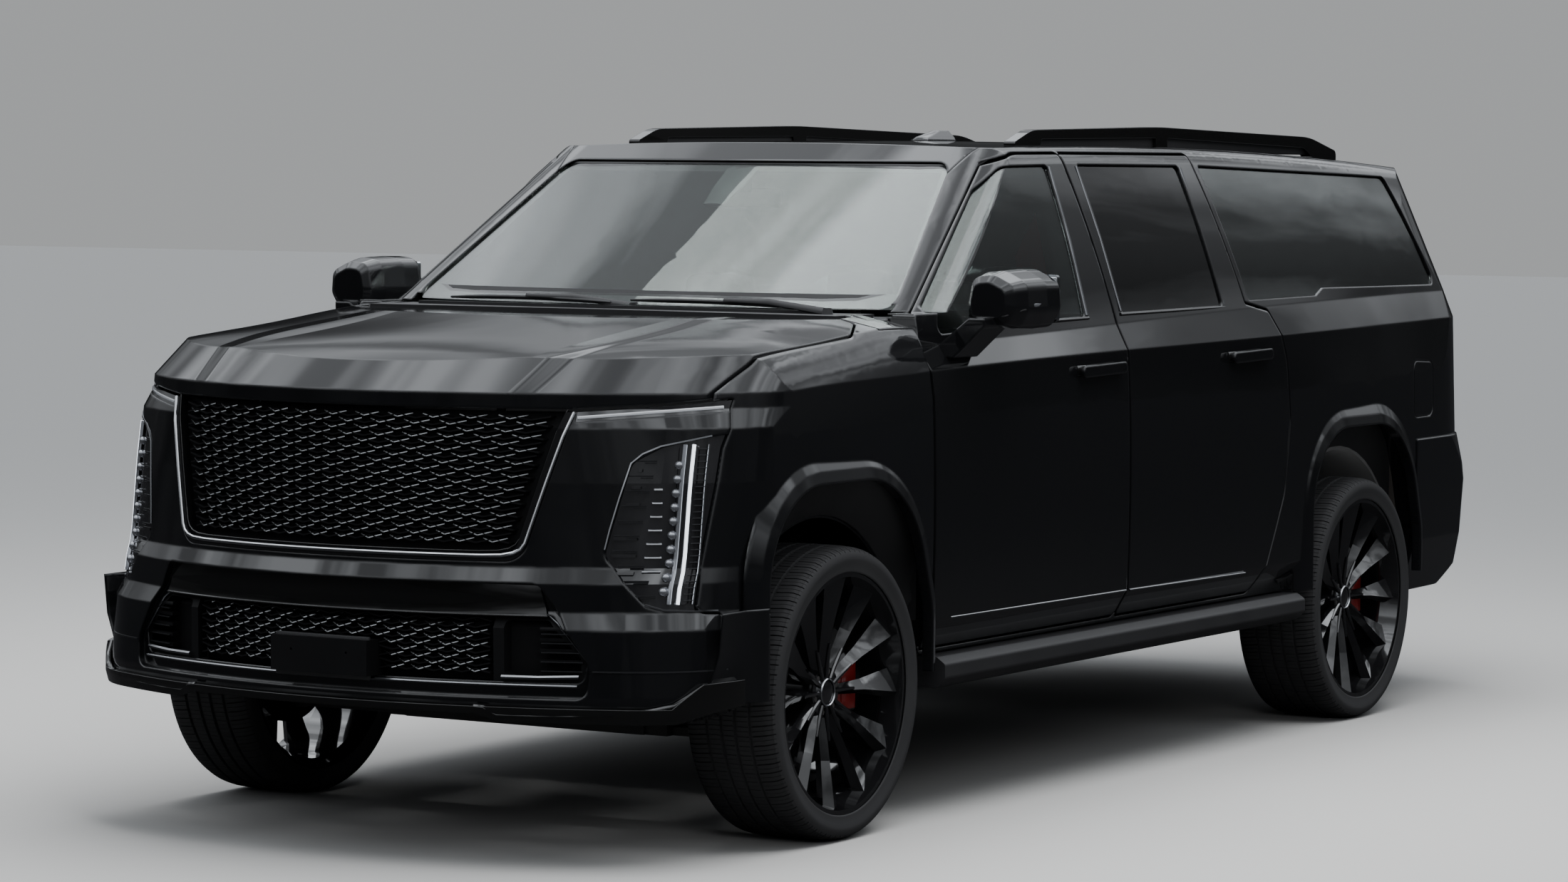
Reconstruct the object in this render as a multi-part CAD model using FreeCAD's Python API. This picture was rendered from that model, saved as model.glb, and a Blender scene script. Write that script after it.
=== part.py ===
import FreeCAD, Part
import math
import os

V = FreeCAD.Vector

# Overall sizes in millimetres. X is the vehicle's left, Y runs to the rear, Z is up, z = 0 is the road.
FRONT_OVERHANG = 1030.0
WHEELBASE = 3407.0
REAR_OVERHANG = 1329.0
LENGTH = FRONT_OVERHANG + WHEELBASE + REAR_OVERHANG
FRONT_AXLE_Y = -LENGTH / 2 + FRONT_OVERHANG
REAR_AXLE_AFT = WHEELBASE

# Wheels and running gear
TYRE_RADIUS = 400.0
WHEEL_CENTRE_X = 872.0
HUB_FACE_X = 930.0
DISC_RADIUS = 200.0
DISC_X = 868.0
DISC_THICKNESS = 30.0
KINGPIN_X = 818.0
KINGPIN_RADIUS = 16.0
BALL_JOINT_REACH = 135.0
HUB_RADIUS = 75.0
PIN_CLEARANCE = 0.05
SPOKE_COUNT = 12

# Walls, gaps and seats
SIDE_WALL = 88.0
ROOF_WALL = 52.0
TAIL_WALL = 46.0
PANEL_WALL = 26.0
GLASS_DEPTH = 7.0
GLASS_THICKNESS = 5.0
GLASS_SEAT = 0.3
CANT_DEPTH = 24.0
COWL_HALF_WIDTH = 790.0
SHUT_GAP = 8.0
SEAT_GAP = 0.3

# Heights along the body side
BODY_BOTTOM_Z = 462.0
DOOR_BOTTOM_Z = 482.0
SILL_Z = 560.0
FOOT_TUCK = 70.0
SILL_TUCK = 14.0
FLOOR_Z = 592.0
FLOOR_THICKNESS = 26.0
COWL_Z = 1412.0

# Body sections, each at its distance aft of the front axle
# aft, x_mid, x_crease, z_crease, x_belt, z_belt, x_rail, z_rail, x_top, z_top, z_crown
BODY_ROWS = [
    (250, 1027, 1009, 1251, 968, 1321, 805, 1795, 745, 1846, 1862),
    (1200, 1029, 1010, 1272, 972, 1342, 803, 1826, 742, 1874, 1889),
    (2200, 1029, 1008, 1284, 971, 1370, 800, 1835, 740, 1884, 1900),
    (3300, 1024, 1002, 1298, 958, 1392, 789, 1820, 727, 1866, 1886),
    (4300, 985, 965, 1312, 922, 1402, 762, 1783, 700, 1826, 1850),
    (4950, 935, 915, 1320, 880, 1406, 725, 1750, 664, 1790, 1812),
]

# Fender and hood sections
# aft, x_mid, x_crease, z_crease, x_gap, z_gap, x_ridge, z_ridge, z_crown
FRONT_ROWS = [
    (-1080, 1004, 985, 1140, 835, 1178, 500, 1256, 1262),
    (-980, 1008, 988, 1158, 846, 1190, 496, 1276, 1280),
    (-860, 1012, 992, 1180, 858, 1210, 488, 1300, 1304),
    (-600, 1017, 999, 1208, 900, 1290, 468, 1336, 1346),
    (-350, 1021, 1003, 1226, 930, 1328, 452, 1362, 1374),
    (104, 1026, 1008, 1246, 943, 1364, 484, 1414, 1424),
    (460, 1028, 1010, 1257, 952, 1370, 520, 1436, 1442),
]

# Plan outlines of the nose: a wide bow, then a corner arc to the flank
# z, aft, bow_radius, x_turn, x_flank
NOSE_ROWS = [
    (380, -1000, 1900, 800, 1006),
    (450, -1012, 1850, 805, 1012),
    (624, -1024, 1650, 812, 1018),
    (668, -1004, 1600, 800, 1006),
    (742, -1024, 1450, 800, 1012),
    (782, -1002, 1450, 815, 1011),
    (1000, -990, 1380, 845, 1013),
    (1140, -981, 1330, 850, 1011),
    (1190, -975, 1250, 830, 1006),
    (1230, -972, 1250, 810, 1004),
    (1400, -723, 1250, 760, 985),
]

# Plan outlines of the tail
TAIL_ROWS = [
    (380, 4660, 2500, 560, 965),
    (900, 4700, 2500, 580, 985),
    (1310, 4680, 2500, 575, 978),
    (1404, 4650, 2500, 560, 940),
    (1800, 4540, 2500, 440, 770),
    (1980, 4490, 2500, 400, 700),
]

# Plan outlines of the rear bumper
BUMPER_ROWS = [
    (385, 4640, 2500, 560, 940),
    (450, 4690, 2500, 600, 985),
    (560, 4715, 2500, 615, 997),
    (745, 4736, 2500, 620, 1002),
    (800, 4728, 2500, 615, 1000),
    (905, 4705, 2500, 585, 990),
]

# Plan outlines of the windscreen
WINDSCREEN_ROWS = [
    (1300, 227, 2600, 880, 985),
    (1960, 1317, 5000, 610, 770),
]
WINDSCREEN_SLOPE = (1317.0 - 227.0) / (1960.0 - 1300.0)

# Side outlines: aft, z and the corner's radius
FRONT_DOOR = [
    (457, DOOR_BOTTOM_Z, 18), (457, 1175, 120), (437, 1300, 60), (462, 1408, 18), (640, 1480, 300),
    (1120, 1806, 200), (1330, 1856, 300), (1614, 1858, 8), (1655, 1235, 120), (1655, DOOR_BOTTOM_Z, 18),
]
REAR_DOOR = [
    (1665, DOOR_BOTTOM_Z, 18), (1665, 1235, 120), (1628, 1858, 8), (2496, 1858, 10),
    (2560, 1392, 10), (2712, 1366, 20), (2778, 1210, 150), (2795, 1030, 100), (2752, 790, 150), (2640, 580, 80),
    (2590, DOOR_BOTTOM_Z, 18),
]
FRONT_DOOR_WINDOW = [
    (560, 1352, 20), (1462, 1380, 12), (1512, 1826, 16), (1240, 1822, 120), (1090, 1752, 150), (600, 1428, 20),
]
REAR_DOOR_WINDOW = [
    (1704, 1386, 12), (2400, 1392, 12), (2398, 1826, 16), (1704, 1828, 12),
]
QUARTER_WINDOW = [
    (2594, 1404, 12), (3120, 1408, 30), (3190, 1432, 40), (4184, 1424, 30), (4068, 1792, 30), (2540, 1826, 12),
]
# Wheel arch outline about its axle: aft of the axle, z, corner radius
ARCH = [(-452, 330), (-452, 976, 270), (300, 976, 330), (424, 600, 200), (424, 330)]
ARCH_INNER_GROWTH = 30.0

# Filler flap outline: aft, z, corner radius
FUEL_FLAP = [(3836, 984, 30), (4010, 984, 30), (4016, 1164, 30), (3842, 1172, 30)]
FLAP_GROOVE = 4.0

# Front outlines: x, z and the corner's radius
GRILLE_OPENING = [(-546, 797, 56), (546, 797, 56), (664, 1240), (-664, 1240)]
LOWER_OPENING = [
    (-706, 486, 24), (706, 486, 24), (718, 544, 16), (622, 657, 24), (-622, 657, 24), (-718, 544, 16),
]
LAMP = [
    (735, 812, 40), (842, 684, 24), (880, 670, 20), (1100, 670), (1100, 1160), (935, 1120, 20), (842, 1092, 20),
    (782, 1052, 40),
]
LAMP_STRIP = [(652, 1156, 4), (1100, 1197), (1100, 1240), (652, 1200)]
# Middle of the bumper, set back between its corners
BUMPER_RECESS = [
    (-728, 446, 30), (728, 446, 30), (736, 530, 60), (598, 742, 30), (-598, 742, 30), (-736, 530, 60),
]
TAILGATE = [
    (-790, 776, 20), (790, 776, 20), (776, 1000), (700, 1500, 60), (700, 1990), (-700, 1990), (-700, 1500, 60),
    (-776, 1000),
]
TAILGATE_WINDOW = [(-668, 1420, 60), (668, 1420, 60), (640, 1770, 50), (-640, 1770, 50)]
TAIL_LAMP = [(800, 912, 10), (872, 912, 20), (800, 1500, 200), (770, 1812, 20), (708, 1812, 10), (708, 1508, 60)]
WINDSCREEN = [(-824, 1418, 30), (824, 1418, 30), (668, 1832, 60), (-668, 1832, 60)]
# Front outline that divides each door's frame from the pillar inboard of it: x, z
DOOR_LIMIT = [(876, 1412), (756, 1808), (700, 1990), (1300, 1990), (1300, 300), (800, 300), (800, 1300)]
# Plan outlines: x, aft, corner radius
HOOD = [
    (-846, -1100), (846, -1100), (854, -819), (902, -604, 200), (932, -400, 300), (942, 110, 60), (880, 236, 40),
    (800, 262, 60), (0, 330), (-800, 262, 60), (-880, 236, 40), (-942, 110, 60), (-932, -400, 300), (-902, -604, 200),
    (-854, -819),
]
ROOF = [
    (-668, 1060), (668, 1060), (700, 1230, 60), (736, 1330, 100), (736, 4322), (-736, 4322), (-736, 1330, 100),
    (-700, 1230, 60),
]
HOOD_FRONT_Z = 1190.0
FASCIA_TOP_Z = 1182.0
FASCIA_LOW_Z = 424.3
TAILGATE_TOP_AFT = 4330.0
# Spoiler outlines: z, aft
SPOILER_ROWS = [(1786, 4640), (1802, 4672), (1816, 4664)]
TAIL_REACH = 4700.0
NOSE_REACH = 1700.0

PILLAR_X = 870.0
SILL_X = 780.0
SILL_START_AFT = 492.0
FIREWALL_AFT = 452.0
FOOT_Z = 1372.0
DOOR_HINGE_AFT = (500.0, 1672.0)
DOOR_HINGE_HEIGHTS = (680.0, 1080.0)
HANDLE_STAND = 26.0
HANDLE_THICKNESS = 12.0
# Door handles: aft, z and the corner's radius
HANDLES = (
    [(1318, 1206, 16), (1600, 1212, 16), (1600, 1246, 16), (1318, 1240, 16)],
    [(2344, 1214, 16), (2626, 1220, 16), (2626, 1254, 16), (2344, 1248, 16)],
)
BUMPER_START_AFT = 3858.0
BUMPER_TOP_Z = 905.0
FRAME_FRONT_AFT = -880.0
FRAME_REAR_AFT = 4540.0
FRAME_RAIL_X = 480.0
ARM_PLATE = 9.0
FRAME_Z = 455.0
CROSS_MEMBERS = (-860.0, -250.0, 1200.0, 2000.0, 2700.0, 4200.0)
BOARD_BRACKETS = (760.0, 1700.0, 2600.0)
BODY_MOUNTS = (620.0, 1500.0, 2400.0, 4300.0)
JACK_PAD_AFT = 600.0
JACK_PAD_DROP = 18.0
RECEIVER = 51.0
RECEIVER_END_AFT = 4650.0
LINER_RADIUS = 470.0
WHEELHOUSE_X = 690.0
WHEELHOUSE_RADIUS = 490.0
SPINDLE_RADIUS = 30.0
LAMP_RECESS = 10.0
# Light-guide bar in the lamp: x, z
LIGHT_BAR = [(884, 702, 6), (918, 686, 6), (912, 1100, 10), (878, 1096, 10)]
GRILLE_FRAME = 20.0
GRILLE_DEPTH = 38.0
GRILLE_PITCH_Z = 16.75
GRILLE_WAVES = 6
GRILLE_RISE = 4.5
GRILLE_BAR = 4.0
GRILLE_ROWS = 20
GRILLE_LOW_Z = 845.0
GRILLE_LOW_HALF = 508.0
GRILLE_FLARE = 0.26
LOWER_ROWS = 9
LOWER_LOW_Z = 508.0
LOWER_MESH_HALF = 468.0
PLATE_BOLT_SPACING = 178.0
PLATE_BOLT_RADIUS = 3.2
PLATE_BOLT_Z = 545.0
# Lip outlines: z, aft, bow_radius, x_turn, x_flank
LIP_ROWS = [(384, -1020, 1900, 806, 1018), (412, -1030, 1880, 812, 1026), (490, -1030, 1880, 812, 1026)]
# Front outline of the lip: x, z
LIP_OUTLINE = [
    (-1040, 492), (-1040, 430), (-930, 384), (-520, 384), (-452, 404), (452, 404), (520, 384), (930, 384), (1040, 430),
    (1040, 492), (978, 486), (926, 424), (-926, 424), (-978, 486),
]

# Roof rail and the gaps under it: aft, z, corner radius
RAIL_OUTLINE = [
    (1530, 1860), (1530, 1896, 10), (1640, 1932, 200), (2500, 1949, 3000), (3640, 1926, 600), (3860, 1880, 20),
    (3860, 1820), (1540, 1820)]
RAIL_GAP = [(1690, 1870), (1700, 1905, 10), (2480, 1914, 10), (2480, 1870)]
RAIL_GAP_REAR = [(2560, 1870), (2560, 1914, 10), (3600, 1890, 100), (3660, 1860)]
# Fin sections: z, front, rear, half width
# Lamp fins: x from, x to
LAMP_FINS = (748.0, 806.0)
LAMP_FIN_PITCH = 44.0
LAMP_FIN_COUNT = 8
RECESS_DEPTH = 26.0
FLARE_GROWTH = 84.0
FLARE_STAND = 8.0
FIN_ROWS = [(1880, 2079, 2362, 42), (1912, 2150, 2359, 26), (1934, 2250, 2352, 8)]
# Running board section: x, z, corner radius
BOARD_OUTLINE = [(884, 376, 8), (1006, 368, 20), (1036, 398, 14), (1036, 438, 12), (1008, 457, 10), (884, 457)]
# Exhaust route: aft, z
PIPE_ROUTE = [(360, 425), (3020, 425), (3250, 500), (3560, 500), (3800, 425), (4510, 425)]
PIPE_RADIUS = 26.0
# Dashboard section: aft, z, corner radius
DASH_OUTLINE = [
    (502.3, 1000), (502.3, 1384, 10), (780, 1372, 60), (900, 1300, 60), (880, 1060, 60), (740, 960, 40), (640, 700),
    (502.3, 700)]
# Seat section about its row: aft, z, corner radius
SEAT_OUTLINE = [
    (-420, 618.3, 10), (-470, 880, 70), (-60, 870, 40), (60, 1290, 40), (50, 1480, 40), (150, 1480, 40), (170, 1290, 40),
    (80, 760, 60), (20, 618.3, 10)]
# Seat rows: aft, width, centres
SEAT_ROWS = [(1500.0, 520.0, (-395.0, 395.0)), (2380.0, 520.0, (-395.0, 395.0)), (3240.0, 1180.0, (0.0,))]
# Tyre section about the wheel's middle: x, radius
TYRE_PROFILE = [(-112, 333), (-142, 366), (-132, 386), (-106, 400), (106, 400), (132, 386), (142, 366), (112, 333)]
# Rim section about the wheel's middle: x, radius
RIM_PROFILE = [
    (-118, 332.7), (118, 332.7), (122, 339), (128, 339), (128, 316), (70, 300), (-104, 300), (-128, 316), (-128, 339),
    (-122, 339)]
# Spoke stations: radius, inner x, outer x, half width, how far the ridge stands off the middle
SPOKE_ROWS = [(56, 902, 936, 13, 0), (185, 916, 958, 20, 8), (322, 934, 986, 44, 26)]
# Mirror outlines: x, z, corner radius
MIRROR_OUTLINE = [(1014, 1370, 20), (1160, 1366, 44), (1192, 1420, 40), (1186, 1500, 40), (1110, 1536, 60),
                  (1030, 1528, 40), (1012, 1440, 30)]
MIRROR_CENTRE = (1092, 1450)
MIRROR_ROWS = [(606, 0.60), (626, 0.82), (684, 0.96), (790, 1.0), (868, 0.98), (882, 0.92)]  # (aft, size)
MIRROR_FOOT = [(960, 1296, 6), (1014, 1288, 6), (1112, 1378, 10), (1112, 1400), (1062, 1400, 10), (960, 1318, 6)]
SEAT_CENTRE_X = 395.0


def at(aft):
    """Y of a place given aft of the front axle."""
    return FRONT_AXLE_Y + aft


def box(x0, x1, y0, y1, z0, z1):
    """Block between two corners."""
    return Part.makeBox(x1 - x0, y1 - y0, z1 - z0, V(x0, y0, z0))


def rod(x0, x1, y, z, radius):
    """Round bar across the vehicle."""
    return Part.makeCylinder(radius, x1 - x0, V(x0, y, z), V(1, 0, 0))


def mirrored(shape):
    """The same piece on the vehicle's right."""
    return shape.mirror(V(0, 0, 0), V(1, 0, 0))


def fused(shapes):
    """One solid from pieces that meet."""
    return shapes[0].multiFuse(shapes[1:]).removeSplitter()


def outline_face(points, place):
    """Flat face inside an outline; a third value rounds that corner and place gives a point its space."""
    flat = [V(p[0], p[1], 0) for p in points]
    corners = []
    for i, corner in enumerate(flat):
        radius = points[i][2] if len(points[i]) > 2 else 0
        if not radius:
            corners.append((corner, None, corner))
            continue
        back = (flat[i - 1] - corner).normalize()
        ahead = (flat[(i + 1) % len(flat)] - corner).normalize()
        half = back.getAngle(ahead) / 2
        split = (back + ahead).normalize()
        centre = corner + split * (radius / math.sin(half))
        cut = radius / math.tan(half)
        corners.append((corner + back * cut, centre - split * radius, corner + ahead * cut))
    edges = []
    for i, (start, middle, end) in enumerate(corners):
        if middle is not None:
            edges.append(Part.Arc(place(start), place(middle), place(end)).toShape())
        following = corners[(i + 1) % len(corners)][0]
        if end.distanceToPoint(following) > 0.01:
            edges.append(Part.makeLine(place(end), place(following)))
    return Part.Face(Part.Wire(edges))


def grown(face, growth):
    """The face with its outline moved out, or in when growth is below zero."""
    return face.makeOffset2D(growth) if growth else face


def side_prism(points, growth=0.0, x0=0.0, x1=1300.0, aft=0.0):
    """Block behind a side outline, between two distances from the centre plane."""
    face = outline_face(points, lambda p: V(x0, at(p.x + aft), p.y))
    return grown(face, growth).extrude(V(x1 - x0, 0, 0))


def front_prism(points, aft0, aft1, growth=0.0):
    """Block behind a front outline."""
    face = outline_face(points, lambda p: V(p.x, at(aft0), p.y))
    return grown(face, growth).extrude(V(0, aft1 - aft0, 0))


def plan_prism(points, z0, z1, growth=0.0):
    """Block over a plan outline."""
    face = outline_face(points, lambda p: V(p.x, at(p.y), z0))
    return grown(face, growth).extrude(V(0, 0, z1 - z0))


def bulged(a, b, bulge):
    """Middle point of a shallow arc from a to b that stands out by bulge."""
    dx = b[0] - a[0]
    dz = b[1] - a[1]
    chord = math.hypot(dx, dz)
    return (a[0] + b[0]) / 2 + dz / chord * bulge, (a[1] + b[1]) / 2 - dx / chord * bulge


def section_wire(y, half, crown_z):
    """Closed section: half is the left side from the foot up, each point with the bulge of the run to it."""
    edges = []
    for side in (1, -1):
        run = []
        for a, b in zip(half, half[1:]):
            pa = V(side * a[0], y, a[1])
            pb = V(side * b[0], y, b[1])
            if len(b) > 2:
                mx, mz = bulged(a, b, b[2])
                run.append((pa, V(side * mx, y, mz), pb))
            else:
                run.append((pa, None, pb))
        if side < 0:
            run = [(pb, mid, pa) for pa, mid, pb in reversed(run)]
        edges.append(run)
    top = half[-1]
    crown = [(V(top[0], y, top[1]), V(0, y, crown_z), V(-top[0], y, top[1]))]
    foot = half[0]
    base = [(V(-foot[0], y, foot[1]), None, V(foot[0], y, foot[1]))]
    shapes = []
    for start, middle, end in edges[0] + crown + edges[1] + base:
        if middle is None:
            shapes.append(Part.makeLine(start, end))
        else:
            shapes.append(Part.Arc(start, middle, end).toShape())
    return Part.Wire(shapes)


def body_block(side_inset, roof_inset, drop):
    """Cabin form, set in from the skin; drop carries the foot further down."""
    wires = []
    for aft, xm, xc, zc, xb, zb, xr, zr, xt, zt, crown in BODY_ROWS:
        half = [
            (xm - FOOT_TUCK - side_inset, BODY_BOTTOM_Z - drop),
            (xm - SILL_TUCK - side_inset, SILL_Z),
            (xc - side_inset, zc, 9),
            (xb - side_inset, zb),
            (xr - 0.94 * roof_inset, zr - 0.34 * roof_inset, 9),
            (xt - 0.5 * roof_inset, zt - roof_inset, 9),
        ]
        wires.append(section_wire(at(aft), half, crown - roof_inset))
    return Part.makeLoft(wires, True, False)


def front_block(inset, drop):
    """Fender and hood form, set in from the skin."""
    wires = []
    for aft, xm, xc, zc, xg, zg, xr, zr, crown in FRONT_ROWS:
        half = [
            (xm - FOOT_TUCK - inset, BODY_BOTTOM_Z - drop - 60),
            (xm - SILL_TUCK - inset, SILL_Z),
            (xc - inset, zc, 9),
            (xg - 0.8 * inset, zg - 0.6 * inset, 8),
            (xr, zr - inset, 12),
        ]
        wires.append(section_wire(at(aft), half, crown - inset))
    return Part.makeLoft(wires, True, False)


def plan_wire(z, aft, way, bow_radius, x_turn, x_flank, reach):
    """Plan outline at one height: bow, corner arcs and flanks. way is -1 at the nose and 1 at the tail."""
    end_angle = math.radians(86)
    turn = math.asin(x_turn / bow_radius)
    corner_radius = (x_flank - x_turn) / (math.sin(end_angle) - math.sin(turn))
    y0 = at(aft)
    y1 = y0 - way * bow_radius * (1 - math.cos(turn))

    def corner(angle):
        x = x_turn + corner_radius * (math.sin(angle) - math.sin(turn))
        return x, y1 - way * corner_radius * (math.cos(turn) - math.cos(angle))

    xm, ym = corner((turn + end_angle) / 2)
    x2, y2 = corner(end_angle)
    y3 = y0 - way * reach
    x3 = x2 + abs(y3 - y2) / math.tan(end_angle)
    edges = [
        Part.Arc(V(-x_turn, y1, z), V(0, y0, z), V(x_turn, y1, z)).toShape(),
        Part.Arc(V(x_turn, y1, z), V(xm, ym, z), V(x2, y2, z)).toShape(),
        Part.makeLine(V(x2, y2, z), V(x3, y3, z)),
        Part.makeLine(V(x3, y3, z), V(-x3, y3, z)),
        Part.makeLine(V(-x3, y3, z), V(-x2, y2, z)),
        Part.Arc(V(-x2, y2, z), V(-xm, ym, z), V(-x_turn, y1, z)).toShape(),
    ]
    return Part.Wire(edges)


def plan_block(rows, way, reach, shift=0.0):
    """Block between plan outlines, moved inwards by shift."""
    wires = [plan_wire(z, aft - way * shift, way, bow, turn, flank - shift, reach) for z, aft, bow, turn, flank in rows]
    return Part.makeLoft(wires, True, True)


def windscreen_wedge(depth):
    """Space in front of the windscreen and above the hood's line, moved into the cabin by depth."""
    shift = depth * math.hypot(1.0, WINDSCREEN_SLOPE)
    rows = [(z, aft + shift, bow, turn, flank) for z, aft, bow, turn, flank in WINDSCREEN_ROWS]
    behind = plan_block(rows, -1, 1500)
    return box(-1300, 1300, at(-200), at(1700), COWL_Z, 1990).cut(behind)


nodes = {}

# The cabin's closed skin and the skins of its glass
tail = plan_block(TAIL_ROWS, 1, TAIL_REACH)
above_hood = box(-1300, 1300, at(-200), at(455), 1330, COWL_Z + 1).cut(front_block(0, 0))
body_outer = body_block(0, 0, 0).cut(windscreen_wedge(0)).cut(above_hood).common(tail)
tail_inner = plan_block(TAIL_ROWS, 1, TAIL_REACH, TAIL_WALL)
body_inner = body_block(SIDE_WALL, ROOF_WALL, 200).cut(windscreen_wedge(45)).common(tail_inner)
body_inner = body_inner.cut(box(-1300, 1300, at(200), at(330), 300, 2000))
body_shell = body_outer.cut(body_inner)
left_half = box(0.5, 1400, at(-1300), at(5200), 100, 2100)
left_shell = body_shell.common(left_half)


def glass_skin(depth):
    """Cabin form below the glass's face by depth."""
    shifted = plan_block(TAIL_ROWS, 1, TAIL_REACH, depth)
    return body_block(depth, depth, 0).cut(windscreen_wedge(depth)).common(shifted)


glass_shell = glass_skin(GLASS_DEPTH).cut(glass_skin(GLASS_DEPTH + GLASS_THICKNESS))
glass_shell = glass_shell.common(box(-1300, 1300, at(300), at(5200), 1330, 1990))

def door_zone(outline, growth):
    """Space of a door, or with growth its opening."""
    limit = front_prism([(x - growth if x < 1300 else x, z) for x, z in DOOR_LIMIT], 300, 3000)
    return side_prism(outline, growth, 500).common(limit)


# Doors with their cut windows, hinge blocks and handles
for name, outline, window, hinge_aft, handle in (
    ("front", FRONT_DOOR, FRONT_DOOR_WINDOW, DOOR_HINGE_AFT[0], HANDLES[0]),
    ("rear", REAR_DOOR, REAR_DOOR_WINDOW, DOOR_HINGE_AFT[1], HANDLES[1]),
):
    panel = left_shell.common(door_zone(outline, 0)).cut(side_prism(window, 0, 500))
    pieces = [panel]
    for z in DOOR_HINGE_HEIGHTS:
        pieces.append(box(PILLAR_X + SEAT_GAP, 950, at(hinge_aft), at(hinge_aft) + 44, z, z + 60))
    grip_outer = body_block(-HANDLE_STAND, 0, 0)
    grip = grip_outer.cut(body_block(-HANDLE_STAND + HANDLE_THICKNESS, 0, 0)).common(
        side_prism(handle, 0, 900, 1100))
    pieces.append(grip)
    ends = [min(p[0] for p in handle) + 24, max(p[0] for p in handle) - 24]
    middle = (min(p[1] for p in handle) + max(p[1] for p in handle)) / 2
    for end in ends:
        post = Part.makeCylinder(9, 60, V(990, at(end), middle), V(1, 0, 0))
        pieces.append(post.common(body_block(-HANDLE_STAND + 2, 0, 0)))
    nodes["door_%s_left" % name] = fused(pieces)
    door_glass = glass_shell.common(side_prism(window, -GLASS_SEAT, 500))
    nodes["glass_%s_left" % name] = door_glass.common(front_prism(DOOR_LIMIT, 300, 3000))

# Body side: sill, pillars, quarter panel and roof rail in one piece
arch_holes = []
for axle in (0.0, REAR_AXLE_AFT):
    arch_holes.append(side_prism(ARCH, 0, 900, 1300, axle))
    arch_holes.append(side_prism(ARCH, ARCH_INNER_GROWTH, 400, 1000, axle))
roof_cut = plan_prism(ROOF, 1700, 2000, 3)


def arch_flare(axle):
    """Collar round a wheel opening that stands out towards its edge."""
    wires = []
    for x, growth in ((1000, FLARE_GROWTH), (1026, 34.0), (1026 + FLARE_STAND, 3.0)):
        face = outline_face(ARCH, lambda p: V(x, at(p.x + axle), p.y))
        wires.append(grown(face, growth).OuterWire)
    return Part.makeLoft(wires, True, True).cut(side_prism(ARCH, 0, 900, 1300, axle))


windscreen_cut = front_prism(WINDSCREEN, 200, 1500)
tailgate_cut = front_prism(TAILGATE, 4000, 5000, 10)
side = left_shell.fuse(arch_flare(REAR_AXLE_AFT).common(box(0, 1300, at(2700), at(4100), BODY_BOTTOM_Z, 1300)))
for cutter in (
    door_zone(FRONT_DOOR, SHUT_GAP), door_zone(REAR_DOOR, SHUT_GAP),
    side_prism(QUARTER_WINDOW, 0, 400), roof_cut, windscreen_cut,
    tailgate_cut.common(box(0, 900, at(4250), at(5000), 300, 2000)),
    front_prism(TAIL_LAMP, TAILGATE_TOP_AFT - SEAT_GAP, 5000, SEAT_GAP), arch_holes[2], arch_holes[3],
    box(0, 1300, at(200), at(452), 300, FOOT_Z), box(0, 1300, at(200), at(262), 300, 2000),
    box(0, 822, at(200), at(700), 300, COWL_Z + 20),
    box(0, 1300, at(BUMPER_START_AFT), at(5000), 300, BUMPER_TOP_Z + SEAT_GAP),
):
    side = side.cut(cutter)
pillar_outline = [
    (PILLAR_X, FLOOR_Z), (PILLAR_X, 1330), (738, 1815), (738, 1834), (690, 1834), (690, 1800), (800, 1330),
    (800, FLOOR_Z),
]
pillar = front_prism(pillar_outline, 1600, 1716)
cant_rail = box(690, 735, at(1230), at(4180), 1700, 1900).common(body_block(20, CANT_DEPTH, 0)).cut(
    body_block(20, CANT_DEPTH + 40, 0))
frame_pieces = [
    side,
    box(SILL_X, SILL_X + 100, at(SILL_START_AFT), at(2900), BODY_BOTTOM_Z, FLOOR_Z),
    box(COWL_HALF_WIDTH, PILLAR_X, at(SILL_START_AFT), at(600), FLOOR_Z - 10, 1376),
    box(COWL_HALF_WIDTH, 843, at(SILL_START_AFT), at(600), 1370, 1400),
    box(COWL_HALF_WIDTH, 843, at(400), at(550), 1366, 1394),
    box(COWL_HALF_WIDTH, 900, at(340), at(425), 1376, 1408).common(front_block(2, 0)),
    cant_rail,
    pillar,
    box(690, 752, at(2640), at(2760), 1786, 1830),
    box(690, 738, at(1210), at(1260), 1786, 1834),
    box(SILL_X, 960, at(2810), at(2900), BODY_BOTTOM_Z, 620),
]
nodes["body_side_left"] = fused(frame_pieces)

rail_room = box(690 - SEAT_GAP, 740, at(1209), at(4181), 1700, 1900).common(body_block(20, CANT_DEPTH - SEAT_GAP, 0))
roof = body_shell.common(plan_prism(ROOF, 1700, 2000)).cut(windscreen_cut)
for room in (rail_room, mirrored(rail_room)):
    roof = roof.cut(room)
nodes["roof_panel"] = roof
glass_room = body_block(20, 20, 0).common(plan_block(TAIL_ROWS, 1, TAIL_REACH, TAIL_WALL - 6))
nodes["tailgate"] = body_shell.common(front_prism(TAILGATE, 4250, 5000)).common(
    box(-900, 900, at(TAILGATE_TOP_AFT), at(5000), 300, 2000)).cut(front_prism(TAILGATE_WINDOW, 4250, 5000))
spoiler = Part.makeLoft([
    plan_wire(z, aft, 1, 2500, 420, 676, aft - TAILGATE_TOP_AFT - 12) for z, aft in SPOILER_ROWS], True, True)
nodes["tailgate"] = nodes["tailgate"].fuse(spoiler.cut(glass_room)).removeSplitter()
nodes["tailgate_glass"] = glass_shell.common(front_prism(TAILGATE_WINDOW, 4350, 5000, -GLASS_SEAT))
lamp = body_shell.common(front_prism(TAIL_LAMP, TAILGATE_TOP_AFT, 5000))
nodes["tail_lamps"] = Part.Compound([lamp, mirrored(lamp)])
quarter = glass_shell.common(side_prism(QUARTER_WINDOW, -GLASS_SEAT, 400))
screen = glass_shell.common(front_prism(WINDSCREEN, 250, 1400, -GLASS_SEAT))
nodes["fixed_glass"] = Part.Compound([screen, quarter, mirrored(quarter)])


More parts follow.
